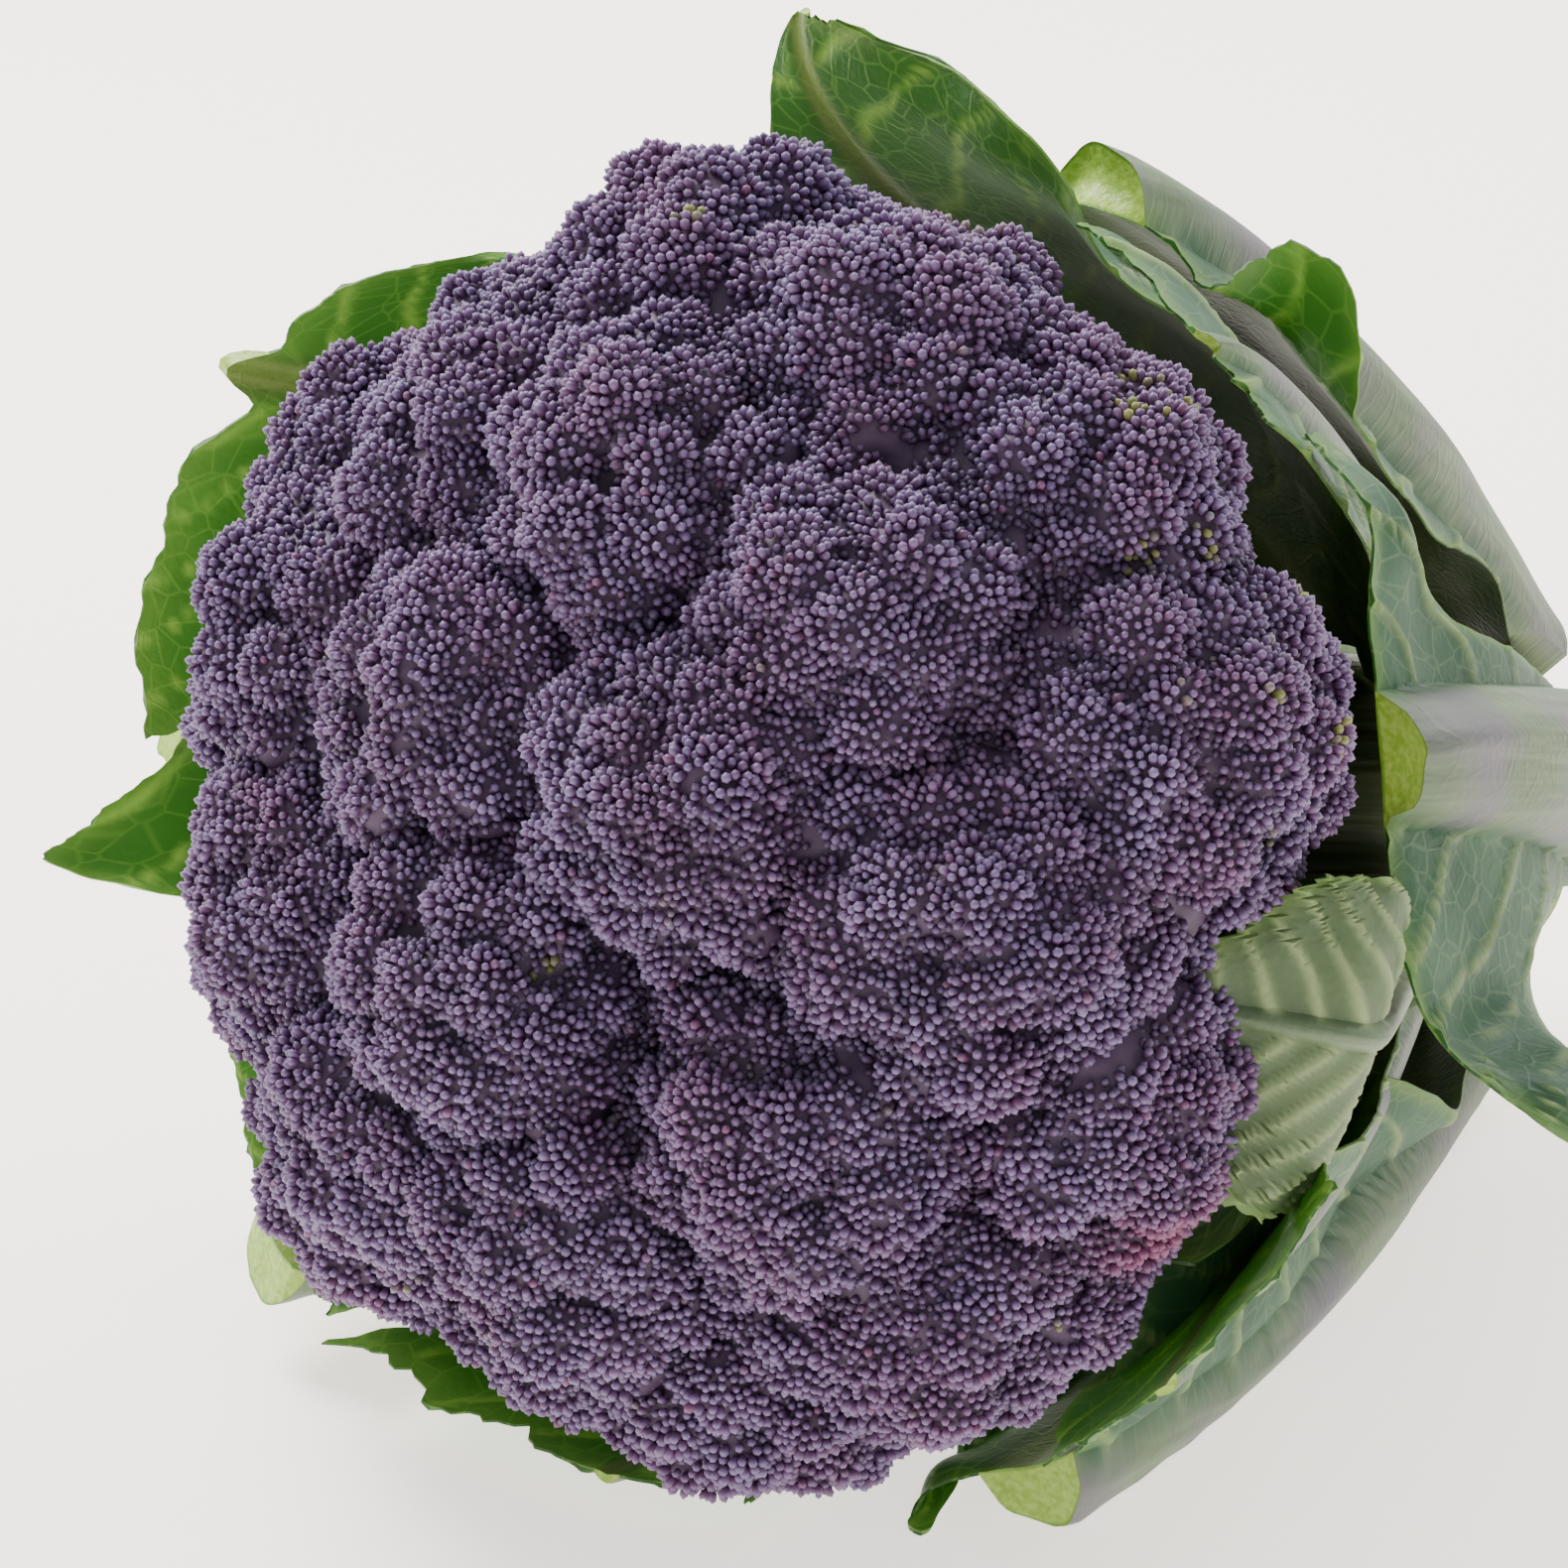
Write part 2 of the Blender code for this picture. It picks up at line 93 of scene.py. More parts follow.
# Every leaf: its name, petiole, and stations from base to tip. A station is three places, at the
# midrib, the edge of greater azimuth and the edge of lesser azimuth. A place is a share of the
# stem's length along the axis, an azimuth in degrees, and a reach from the stem's side (0) to the
# crown's edge (1).
LEAVES = (
    ("outer_leaf_upper", OUTER_PETIOLE, (
        ((-1.00, 90, 0.00), (-1.00, 113, 0.00), (-1.00, 67, 0.00)),
        ((-0.80, 90, 0.33), (-0.80, 111, 0.35), (-0.80, 67, 0.35)),
        ((-0.60, 90, 0.58), (-0.60, 107, 0.61), (-0.60, 66, 0.62)),
        ((-0.40, 90, 0.79), (-0.40, 104, 0.84), (-0.40, 62, 0.88)),
        ((-0.24, 91, 0.90), (-0.22, 102, 0.95), (-0.18, 57, 1.08)),
    )),
    ("outer_leaf_right", OUTER_PETIOLE, (
        ((-1.00, 22, 0.00), (-1.00, 46, 0.00), (-1.00, -2, 0.00)),
        ((-0.80, 22, 0.33), (-0.80, 45, 0.35), (-0.80, -2, 0.35)),
        ((-0.60, 22, 0.58), (-0.60, 45, 0.62), (-0.60, -5, 0.62)),
        ((-0.40, 22, 0.78), (-0.40, 48, 0.88), (-0.43, -11, 0.90)),
        ((-0.22, 22, 0.87), (-0.24, 51, 1.06), (-0.31, -11, 1.06)),
        ((-0.15, 22, 0.90), (-0.12, 49, 1.14), (-0.20, -2, 1.05)),
    )),
    ("outer_leaf_lower_right", OUTER_PETIOLE, (
        ((-1.00, 289, 0.00), (-1.00, 314, 0.00), (-1.00, 265, 0.00)),
        ((-0.80, 294, 0.32), (-0.80, 320, 0.34), (-0.80, 275, 0.32)),
        ((-0.60, 299, 0.57), (-0.62, 336, 0.62), (-0.60, 286, 0.58)),
        ((-0.42, 300, 0.77), (-0.48, 347, 0.84), (-0.42, 288, 0.80)),
        ((-0.26, 300, 0.90), (-0.32, 346, 0.97), (-0.26, 289, 0.93)),
        ((-0.20, 300, 0.95), (-0.13, 330, 1.04), (-0.12, 291, 1.04)),
    )),
    ("outer_leaf_lower_left", OUTER_PETIOLE, (
        ((-1.00, 227, 0.00), (-1.00, 251, 0.00), (-1.00, 203, 0.00)),
        ((-0.80, 229, 0.33), (-0.80, 249, 0.35), (-0.80, 206, 0.35)),
        ((-0.60, 230, 0.60), (-0.60, 246, 0.62), (-0.60, 207, 0.63)),
        ((-0.35, 231, 0.86), (-0.35, 242, 0.88), (-0.35, 208, 0.93)),
        ((-0.10, 232, 1.04), (-0.10, 240, 1.06), (-0.10, 208, 1.14)),
        ((0.05, 233, 1.12), (0.05, 240, 1.12), (-0.02, 213, 1.20)),
    )),
    ("outer_leaf_left", OUTER_PETIOLE, (
        ((-1.00, 160, 0.00), (-1.00, 184, 0.00), (-1.00, 136, 0.00)),
        ((-0.80, 166, 0.34), (-0.80, 188, 0.35), (-0.80, 146, 0.36)),
        ((-0.60, 173, 0.64), (-0.60, 193, 0.66), (-0.60, 154, 0.68)),
        ((-0.35, 181, 1.02), (-0.35, 198, 1.00), (-0.35, 168, 1.06)),
        ((-0.10, 184, 1.27), (-0.10, 201, 1.20), (-0.10, 171, 1.32)),
        ((0.03, 186, 1.34), (0.14, 195, 1.36), (0.03, 174, 1.38)),
    )),
    ("inner_leaf_left", INNER_PETIOLE, (
        ((-0.84, 148, 0.00), (-0.84, 170, 0.00), (-0.84, 127, 0.00)),
        ((-0.65, 150, 0.34), (-0.65, 172, 0.36), (-0.65, 129, 0.36)),
        ((-0.45, 154, 0.70), (-0.45, 176, 0.70), (-0.45, 133, 0.73)),
        ((-0.20, 159, 1.03), (-0.20, 185, 1.03), (-0.20, 139, 1.03)),
        ((0.08, 161, 1.22), (0.05, 192, 1.24), (-0.13, 145, 1.14)),
    )),
    ("inner_leaf_top", INNER_PETIOLE, (
        ((-0.84, 106, 0.00), (-0.84, 125, 0.00), (-0.84, 85, 0.00)),
        ((-0.65, 109, 0.34), (-0.65, 126, 0.36), (-0.65, 83, 0.34)),
        ((-0.45, 114, 0.66), (-0.45, 128, 0.72), (-0.45, 81, 0.58)),
        ((-0.20, 117, 0.98), (-0.20, 131, 1.02), (-0.20, 80, 0.78)),
        ((-0.08, 118, 1.20), (-0.08, 125, 1.24), (-0.06, 83, 1.02)),
    )),
    ("inner_leaf_under", INNER_PETIOLE, (
        ((-0.84, 264, 0.00), (-0.84, 283, 0.00), (-0.84, 245, 0.00)),
        ((-0.65, 266, 0.28), (-0.65, 283, 0.28), (-0.65, 248, 0.30)),
        ((-0.45, 268, 0.58), (-0.45, 283, 0.58), (-0.45, 248, 0.62)),
        ((-0.25, 270, 0.84), (-0.25, 283, 0.84), (-0.25, 246, 0.88)),
        ((-0.12, 271, 0.99), (-0.13, 286, 0.99), (-0.04, 244, 1.06)),
    )),
    ("inner_leaf_lower_right", INNER_PETIOLE, (
        ((-0.80, 320, 0.00), (-0.80, 331, 0.00), (-0.80, 308, 0.00)),
        ((-0.60, 322, 0.34), (-0.60, 333, 0.34), (-0.60, 309, 0.34)),
        ((-0.40, 324, 0.61), (-0.40, 336, 0.61), (-0.40, 310, 0.61)),
        ((-0.20, 325, 0.83), (-0.20, 336, 0.84), (-0.20, 312, 0.83)),
        ((-0.07, 325, 1.00), (-0.10, 335, 0.98), (-0.08, 314, 0.98)),
    )),
    ("inner_leaf_frilled", INNER_PETIOLE, (
        ((-0.72, 354, 0.00), (-0.72, 369, 0.00), (-0.72, 339, 0.00)),
        ((-0.50, 354, 0.36), (-0.50, 368, 0.36), (-0.50, 341, 0.36)),
        ((-0.30, 356, 0.66), (-0.30, 369, 0.64), (-0.30, 341, 0.66)),
        ((-0.12, 358, 0.92), (-0.12, 371, 0.89), (-0.10, 342, 0.92)),
        ((0.02, 358, 1.10), (-0.04, 374, 1.04), (0.08, 348, 1.04)),
    )),
    ("inner_leaf_upper_right", INNER_PETIOLE, (
        ((-0.75, 54, 0.00), (-0.75, 72, 0.00), (-0.75, 36, 0.00)),
        ((-0.55, 55, 0.36), (-0.55, 74, 0.36), (-0.55, 37, 0.36)),
        ((-0.35, 56, 0.66), (-0.35, 75, 0.66), (-0.35, 38, 0.66)),
        ((-0.15, 58, 0.90), (-0.15, 76, 0.90), (-0.15, 40, 0.90)),
        ((-0.03, 59, 1.01), (-0.04, 76, 1.02), (-0.06, 44, 1.00)),
    )),
)


# ---------------------------------------------------------------- places on the head
def head_frame():
    """The matrix of the head's axis, placed by the main stem's box in the CAD."""
    low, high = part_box("main_stem")
    across = Vector((1.0, 0.0, 0.0))
    raised = Vector((0.0, math.sin(HEAD_TILT), math.cos(HEAD_TILT)))
    along = Vector((0.0, -math.cos(HEAD_TILT), math.sin(HEAD_TILT)))
    reach = STEM_LENGTH * math.cos(HEAD_TILT) + STEM_RADIUS * math.sin(HEAD_TILT)
    drop = STEM_LENGTH * math.sin(HEAD_TILT) + STEM_RADIUS * math.cos(HEAD_TILT)
    origin = Vector(((low.x + high.x) / 2.0, high.y - reach, low.z + drop))
    return Matrix.Translation(origin) @ Matrix((across, raised, along)).transposed().to_4x4()


HEAD = head_frame()


def on_head(along, azimuth, radius):
    """A place on the head, in the head's own axes."""
    angle = math.radians(azimuth)
    return Vector((radius * math.cos(angle), radius * math.sin(angle), along))


def to_world(points):
    """Points in the head's axes, as world points."""
    turn = np.array(HEAD.to_3x3())
    return points @ turn.T + np.array(HEAD.translation)


def wobble(points, wavelength, seed):
    """Smooth noise of about -1 to 1 at each point, from a sum of seeded waves."""
    dice = np.random.default_rng(seed)
    total = np.zeros(len(points))
    for _ in range(9):
        heading = dice.normal(size=3)
        heading *= (0.6 + 0.9 * dice.random()) * 2.0 * math.pi / (wavelength * np.linalg.norm(heading))
        total += np.sin(points @ heading + dice.random() * 2.0 * math.pi)
    return total / 3.6


# ---------------------------------------------------------------- materials
def srgb(code):
    """A linear RGBA colour from an sRGB hex value."""
    channels = [int(code[index:index + 2], 16) / 255.0 for index in (0, 2, 4)]
    linear = [c / 12.92 if c <= 0.04045 else ((c + 0.055) / 1.055) ** 2.4 for c in channels]
    return (*linear, 1.0)


def add(tree, kind, settings=None, links=None, **values):
    """Add a node: values are its properties, settings its input values, links its inputs' sources."""
    node = tree.nodes.new(kind)
    for name, value in values.items():
        setattr(node, name, value)
    for socket, value in (settings or {}).items():
        node.inputs[socket].default_value = value
    for socket, source in (links or {}).items():
        tree.links.new(source, node.inputs[socket])
    return node


def new_material(name):
    """An empty material with its output, ready for a shader."""
    made = bpy.data.materials.new(name)
    made.use_nodes = True
    made.node_tree.nodes.clear()
    return made, made.node_tree


def mixed(tree, share, first, second):
    """A colour between two, by a share. Each is a hex value or an output."""
    node = add(tree, "ShaderNodeMix", data_type="RGBA")
    for socket, colour in (("A", first), ("B", second)):
        target = [s for s in node.inputs if s.name == socket and s.type == "RGBA"][0]
        if isinstance(colour, str):
            target.default_value = srgb(colour)
        else:
            tree.links.new(colour, target)
    factor = node.inputs[0]
    if isinstance(share, float):
        factor.default_value = share
    else:
        tree.links.new(share, factor)
    return [s for s in node.outputs if s.type == "RGBA"][0]


def attribute(tree, name):
    """The value of a mesh attribute."""
    return add(tree, "ShaderNodeAttribute", attribute_name=name).outputs["Fac"]


def ranged(tree, source, low, high, out_low=0.0, out_high=1.0):
    """A value moved smoothly from one range to another."""
    node = add(tree, "ShaderNodeMapRange", {1: low, 2: high, 3: out_low, 4: out_high}, {0: source})
    node.interpolation_type = "SMOOTHSTEP"
    return node.outputs[0]


def noise(tree, scale, detail=2.0, vector=None):
    """Noise on the object's own coordinates, or on a given vector."""
    where = vector or add(tree, "ShaderNodeTexCoord").outputs["Object"]
    node = add(tree, "ShaderNodeTexNoise", {"Scale": scale, "Detail": detail}, {"Vector": where})
    return node.outputs["Fac"]


def computed(tree, operation, *sources):
    """The result of one math operation, on outputs and plain numbers."""
    node = add(tree, "ShaderNodeMath", operation=operation)
    for socket, source in zip(node.inputs, sources):
        if isinstance(source, float):
            socket.default_value = source
        else:
            tree.links.new(source, socket)
    return node.outputs[0]


def bumped(tree, height, strength, distance):
    """The normals of a surface with small relief, whose full height is a distance."""
    return add(
        tree, "ShaderNodeBump", {"Strength": strength, "Distance": distance}, {"Height": height}
    ).outputs[0]


def surfaced(tree, settings, links):
    """End a material with one shader, from its plain values and its inputs' sources."""
    shader = add(tree, "ShaderNodeBsdfPrincipled", settings, links)
    add(tree, "ShaderNodeOutputMaterial", links={"Surface": shader.outputs[0]})


def set_values(mesh, label, values):
    """Store a number on every point of a mesh."""
    layer = mesh.attributes.new(label, "FLOAT", "POINT").data
    layer.foreach_set("value", np.float32(values).ravel())


def set_lengths(mesh, points):
    """Give a mesh a UV map in mm, from a flat place for each of its points."""
    corners = np.empty(len(mesh.loops), dtype=np.int32)
    mesh.loops.foreach_get("vertex_index", corners)
    layer = mesh.uv_layers.new(name="length").data
    layer.foreach_set("uv", np.float32(points[corners]).ravel())


def linked(name, data):
    """A new object in the scene."""
    made = bpy.data.objects.new(name, data)
    bpy.context.scene.collection.objects.link(made)
    return made


def evaluated(holder):
    """An object's mesh with its modifiers applied, as plain data."""
    graph = bpy.context.evaluated_depsgraph_get()
    return bpy.data.meshes.new_from_object(holder.evaluated_get(graph))


def bud_material():
    """Closed purple flower buds: their tips are lighter and greyer, partly from a waxy bloom and partly as a
    painted highlight, and their sides are deep violet.
    """
    made, tree = new_material("waxy_flower_buds")
    tone = attribute(tree, "tone")
    side = mixed(tree, tone, "593C65", "775883")
    tip = mixed(tree, tone, "5E5077", "7F739C")
    # Each bud is painted lighter towards its tip: partly the grey of its waxy bloom, partly a painted
    # highlight
    violet = mixed(tree, ranged(tree, attribute(tree, "tip"), 0.50, 1.05), side, tip)
    rosy = mixed(tree, attribute(tree, "rose"), violet, "7C4467")
    tissue = mixed(tree, tone, "6F7A34", "93924F")
    colour = mixed(tree, attribute(tree, "green"), rosy, tissue)
    # Painted shade: buds that sit low in the creases are mixed towards near black violet
    depth = ranged(tree, attribute(tree, "crease_shade"), 0.15, 1.0, 0.0, 0.55)
    colour = mixed(tree, depth, colour, "2E2233")
    # Plant wax has an index of about 1.45; its bloom leaves it half matt
    surfaced(tree, {"Roughness": 0.46, "IOR": 1.45}, {"Base Color": colour})
    return made


def tissue_material():
    """The flesh under the buds: a violet made near black, partly its own colour and partly painted shade for
    the creases where it shows, and pale green on the stalks.
    """
    made, tree = new_material("floret_flesh")
    # Partly painted shade: the flesh shows only in the creases between buds, so its violet is made near black
    deep = mixed(tree, noise(tree, 260.0), "3A2740", "503857")
    stalk = mixed(tree, noise(tree, 120.0), "8FA05A", "B9C48A")
    colour = mixed(tree, attribute(tree, "stalk"), deep, stalk)
    # Bumps about 2 mm apart, on a matt skin that keeps the shader's own index
    bump = bumped(tree, noise(tree, 500.0, 4.0), 0.3, 0.6 * MM)
    surfaced(tree, {"Roughness": 0.6}, {"Base Color": colour, "Normal": bump})
    return made


# ---------------------------------------------------------------- the crown
# A closed bud is an egg shape set upright, and no two buds of a floret are nearer than the spacing
BUD_RADIUS = 0.73 * MM
BUD_HALF_LENGTH = 1.12 * MM
BUD_SPACING = 1.14 * MM
# Places tried for every bud that finds room
BUD_TRIES = 2.6
# A floret's dome is drawn wider and set deeper than its neighbours would leave it, so that the
# florets merge at creases; the buds stand this far out of the dome
DOME_SPREAD = 1.09
DOME_INSET = 1.0 * MM
BUD_STANDOFF = 4.2 * MM
# A floret's dome carries branches, and every branch carries clusters of buds
BRANCH_RADIUS = 7.4 * MM
CLUSTER_RADIUS = 2.9 * MM
FLESH_VOXEL = 1.75 * MM
# One patch of rosy buds at the rim, and one where yellow-green tissue shows through
BLUSH_PLACE = (88.0 * MM, -34.0 * MM, 2.0 * MM)
BLUSH_RADIUS = 12.0 * MM
GREEN_PLACE = (5.0 * MM, 27.0 * MM, 72.0 * MM)
GREEN_RADIUS = 11.0 * MM
# How wide the patches are in which buds share a tone, turn rosy or show green
TONE_PATCH = 34.0 * MM
ROSE_PATCH = 22.0 * MM
GREEN_PATCH = 12.0 * MM
# The shares of buds that are rosy anywhere, green in a green patch, and green at the one place
ROSY_SHARE = 0.012
GREEN_SHARE = 0.35
BARE_SHARE = 0.22
# A few florets grow a little further out or in than the rest
DOME_NUDGES = {
    "floret_rim_03": -1.5 * MM,
    "floret_rim_05": -6.0 * MM,
    "floret_rim_06": 1.5 * MM,
    "floret_rim_09": 3.0 * MM,
    "floret_rim_10": -4.5 * MM,
    "floret_rim_12": 1.0 * MM,
    "floret_rim_13": -2.5 * MM,
    "floret_side_04": -2.5 * MM,
    "floret_top_02": -1.5 * MM,
    "floret_side_01": 1.5 * MM,
    "floret_side_08": 1.5 * MM,
}
BUD_SEGMENTS = 6
BUD_RINGS = 3


def crown_point(azimuth, tilt):
    """A point of the crown's dome and the dome's outward normal there."""
    angle = math.radians(tilt)
    point = on_head(CROWN_HEIGHT * math.cos(angle), azimuth, CROWN_RADIUS * math.sin(angle))
    slope = (point.x / CROWN_RADIUS**2, point.y / CROWN_RADIUS**2, point.z / CROWN_HEIGHT**2)
    return point, Vector(slope).normalized()


def floret_axis(floret):
    """The direction of a floret's stalk from the receptacle's centre, and its dome's distance."""
    _, azimuth, tilt, radius = floret
    point, normal = crown_point(azimuth, tilt)
    reach = point - radius * normal - RECEPTACLE_CENTRE
    return reach.normalized(), reach.length


def dome_of(floret):
    """The ball a floret's branches stand on: its centre and radius."""
    direction, distance = floret_axis(floret)
    outward = crown_point(floret[1], floret[2])[1]
    radius = DOME_SPREAD * floret[3] - DOME_INSET
    centre = RECEPTACLE_CENTRE + direction * distance
    shift = DOME_NUDGES.get(floret[0], 0.0) - (radius + BUD_STANDOFF - floret[3])
    return np.array(centre + outward * shift), radius


def share_depth(points, floret):
    """How far each point is inside the floret's own share of the crown, where its ball rules."""
    centre, radius = dome_of(floret)
    own = ((points - centre) ** 2).sum(axis=1) - radius**2
    depth = np.full(len(points), 20.0 * MM)
    for other in FLORETS:
        if other is floret:
            continue
        rival, size = dome_of(other)
        gap = np.linalg.norm(rival - centre)
        if gap < radius + size + 12.0 * MM:
            power = ((points - rival) ** 2).sum(axis=1) - size**2
            depth = np.minimum(depth, (power - own) / (2.0 * gap))
    return depth


def spiral_directions(count, dice):
    """Directions spread evenly over a sphere in a spiral, turned by a random angle."""
    index = np.arange(count) + 0.5
    height = 1.0 - 2.0 * index / count
    turn = index * math.pi * (3.0 - math.sqrt(5.0)) + dice.random() * 2.0 * math.pi
    level = np.sqrt(1.0 - height**2)
    return np.stack([level * np.cos(turn), level * np.sin(turn), height], axis=1)


def turned_to(directions, pole):
    """Directions around +Z, turned so that +Z becomes the pole."""
    turn = np.array(Vector(pole).to_track_quat("Z", "Y").to_matrix())
    return directions @ turn.T


def unit(vectors):
    """Vectors of length one."""
    return vectors / np.linalg.norm(vectors, axis=-1, keepdims=True)


def domes_on(centre, radius, pole, size, spread, widest, sink, dice):
    """Smaller domes set over a dome: their centres, radii and outward directions."""
    share = (size / (2.0 * radius)) ** 2
    count = max(int(0.92 / share), 6)
    directions = spiral_directions(count, dice) + dice.normal(size=(count, 3)) * 0.10 * size / radius
    directions = turned_to(unit(directions), pole)
    directions = directions[directions @ np.array(pole) > math.cos(widest)]
    radii = size * (1.0 + spread * dice.uniform(-1.0, 1.0, len(directions)))
    centres = np.array(centre) + directions * (radius - sink * radii)[:, None]
    return centres, radii, directions


def floret_domes(floret, dice):
    """A floret's nested domes: the branches on its dome, and the clusters of buds on those."""
    centre, radius = dome_of(floret)
    outward = crown_point(floret[1], floret[2])[1]
    branches, branch_radii, branch_poles = domes_on(
        centre, radius, outward, BRANCH_RADIUS, 0.25, math.radians(115.0), 0.72, dice
    )
    swell = 1.5 * MM * wobble(branches, 26.0 * MM, SEED + 5) + 0.9 * MM * dice.normal(size=len(branches))
    branches = branches + branch_poles * np.clip(swell, -2.4 * MM, 2.0 * MM)[:, None]
    kept = share_depth(branches, floret) > -0.35 * branch_radii
    branches, branch_radii, branch_poles = branches[kept], branch_radii[kept], branch_poles[kept]
    clusters = []
    cluster_radii = []
    cluster_poles = []
    for place, size, pole in zip(branches, branch_radii, branch_poles):
        found, radii, poles = domes_on(
            place, size, pole, CLUSTER_RADIUS, 0.25, math.radians(100.0), 0.62, dice
        )
        clusters.append(found)
        cluster_radii.append(radii)
        cluster_poles.append(poles)
    return {
        "centre": centre, "radius": radius, "floret": floret,
        "branches": branches, "branch_radii": branch_radii,
        "clusters": np.concatenate(clusters), "cluster_radii": np.concatenate(cluster_radii),
        "cluster_poles": np.concatenate(cluster_poles),
    }


def inside_any(points, centres, radii, own, slack):
    """True where a point lies inside a ball other than its own."""
    inside = np.zeros(len(points), dtype=bool)
    for index in range(len(centres)):
        near = ((points - centres[index]) ** 2).sum(axis=1) < (radii[index] - slack) ** 2
        if own is not None:
            near &= own != index
        inside |= near
    return inside


def thinned(points, spacing, order):
    """The indices of points kept so that no two are nearer than a spacing, in a given order."""
    cells = {}
    kept = []
    keys = np.floor(points / spacing).astype(int).tolist()
    spots = points.tolist()
    nearest = spacing * spacing
    around = [(x, y, z) for x in (-1, 0, 1) for y in (-1, 0, 1) for z in (-1, 0, 1)]
    for index in order.tolist():
        x, y, z = keys[index]
        px, py, pz = spots[index]
        crowded = False
        for dx, dy, dz in around:
            for qx, qy, qz in cells.get((x + dx, y + dy, z + dz), ()):
                if (px - qx) ** 2 + (py - qy) ** 2 + (pz - qz) ** 2 < nearest:
                    crowded = True
                    break
            if crowded:
                break
        if not crowded:
            cells.setdefault((x, y, z), []).append((px, py, pz))
            kept.append(index)
    return np.array(kept)


def nearest_of(points, centres):
    """The nearest centre to every point: its index and its distance."""
    gaps = ((points**2).sum(axis=1)[:, None] - 2.0 * points @ centres.T) + (centres**2).sum(axis=1)
    index = gaps.argmin(axis=1)
    return index, np.linalg.norm(points - centres[index], axis=1)


def floret_buds(domes, dice):
    """The buds of a floret: where each stands, which way it faces, its cluster, and how much painted shade it
    takes for lying low in the creases.
    """
    places = []
    facings = []
    owners = []
    for index, (place, size, pole) in enumerate(
        zip(domes["clusters"], domes["cluster_radii"], domes["cluster_poles"])
    ):
        count = int(BUD_TRIES * 4.0 * math.pi * size**2 / (1.24 * BUD_SPACING**2))
        directions = turned_to(spiral_directions(count, dice), pole)
        directions = directions[directions @ pole > math.cos(math.radians(105.0))]
        directions = unit(directions + dice.normal(size=directions.shape) * 0.08)
        places.append(place + directions * size)
        facings.append(unit(directions + 0.5 * pole))
        owners.append(np.full(len(directions), index))
    places = np.concatenate(places)
    facings = np.concatenate(facings)
    owners = np.concatenate(owners)
    hidden = inside_any(places, domes["branches"], domes["branch_radii"], None, 0.9 * MM)
    hidden |= share_depth(places, domes["floret"]) < -0.5 * MM
    places, facings, owners = places[~hidden], facings[~hidden], owners[~hidden]
    hidden = inside_any(places, domes["clusters"], domes["cluster_radii"], owners, 0.25 * MM)
    places, facings, owners = places[~hidden], facings[~hidden], owners[~hidden]
    kept = thinned(places, BUD_SPACING, dice.permutation(len(places)))
    places, facings, owners = places[kept], facings[kept], owners[kept]
    branch, height = nearest_of(places, domes["branches"])
    level = (height - domes["branch_radii"][branch]) / MM
    envelope = (np.linalg.norm(places - domes["centre"], axis=1) - domes["radius"]) / MM
    border = share_depth(places, domes["floret"]) / MM
    # Painted shade: the lower a bud sits under its branch and its floret's dome, and the nearer it is to a
    # neighbouring floret, the darker it is painted
    crease_shade = np.clip((0.9 - level) / 1.7, 0.0, 1.0) * 0.45 + np.clip((1.8 - envelope) / 4.2, 0.0, 1.0) * 0.65
    crease_shade += 0.55 * np.clip(1.0 - border / 3.5, 0.0, 1.0)
    return places, facings, owners, np.clip(crease_shade, 0.0, 1.0)


def ball(shape, centre, radius, subdivisions):
    """Add a ball to a bmesh."""
    bmesh.ops.create_icosphere(
        shape, subdivisions=subdivisions, radius=radius, matrix=Matrix.Translation(centre)
    )


def taper(shape, start, end, start_radius, end_radius):
    """Add a tapered rod between two points to a bmesh."""
    run = Vector(end) - Vector(start)
    turn = run.to_track_quat("Z", "Y").to_matrix().to_4x4()
    bmesh.ops.create_cone(
        shape, cap_ends=True, segments=14, radius1=start_radius, radius2=end_radius, depth=run.length,
        matrix=Matrix.Translation((Vector(start) + Vector(end)) / 2.0) @ turn,
    )


def floret_flesh(name, floret, domes):
    """The body under a floret's buds: its stalk, branches and clusters as one skin."""
    direction, distance = floret_axis(floret)
    shape = bmesh.new()
    centre = domes["centre"]
    radius = domes["radius"]
    ball(shape, centre, radius * 0.80, 3)
    foot = RECEPTACLE_CENTRE + direction * (RECEPTACLE_RADIUS + PIECE_GAP)
    neck = RECEPTACLE_CENTRE + direction * (distance - 1.05 * radius)
    taper(shape, foot, neck, 0.27 * radius, 0.36 * radius)
    taper(shape, neck, centre, 0.36 * radius, 0.72 * radius)
    for place, size in zip(domes["branches"], domes["branch_radii"]):
        ball(shape, place, size * 0.90, 2)
        fork = centre - np.array(direction) * radius * 0.75
        taper(shape, fork, place, 0.12 * radius, size * 0.62)
    for place, size in zip(domes["clusters"], domes["cluster_radii"]):
        ball(shape, place, size * 0.88, 1)
    mesh = bpy.data.meshes.new(name)
    shape.to_mesh(mesh)
    shape.free()
    holder = linked(name, mesh)
    skin = holder.modifiers.new("skin", "REMESH")
    skin.mode = "VOXEL"
    skin.voxel_size = FLESH_VOXEL
    body = evaluated(holder)
    bpy.data.objects.remove(holder)
    places = np.empty(len(body.vertices) * 3)
    body.vertices.foreach_get("co", places)
    places = places.reshape(-1, 3)
    below = (places - centre) @ np.array(direction) / radius
    stalk = np.clip((-0.25 - below) / 0.35, 0.0, 1.0)
    set_values(body, "stalk", stalk)
    return body


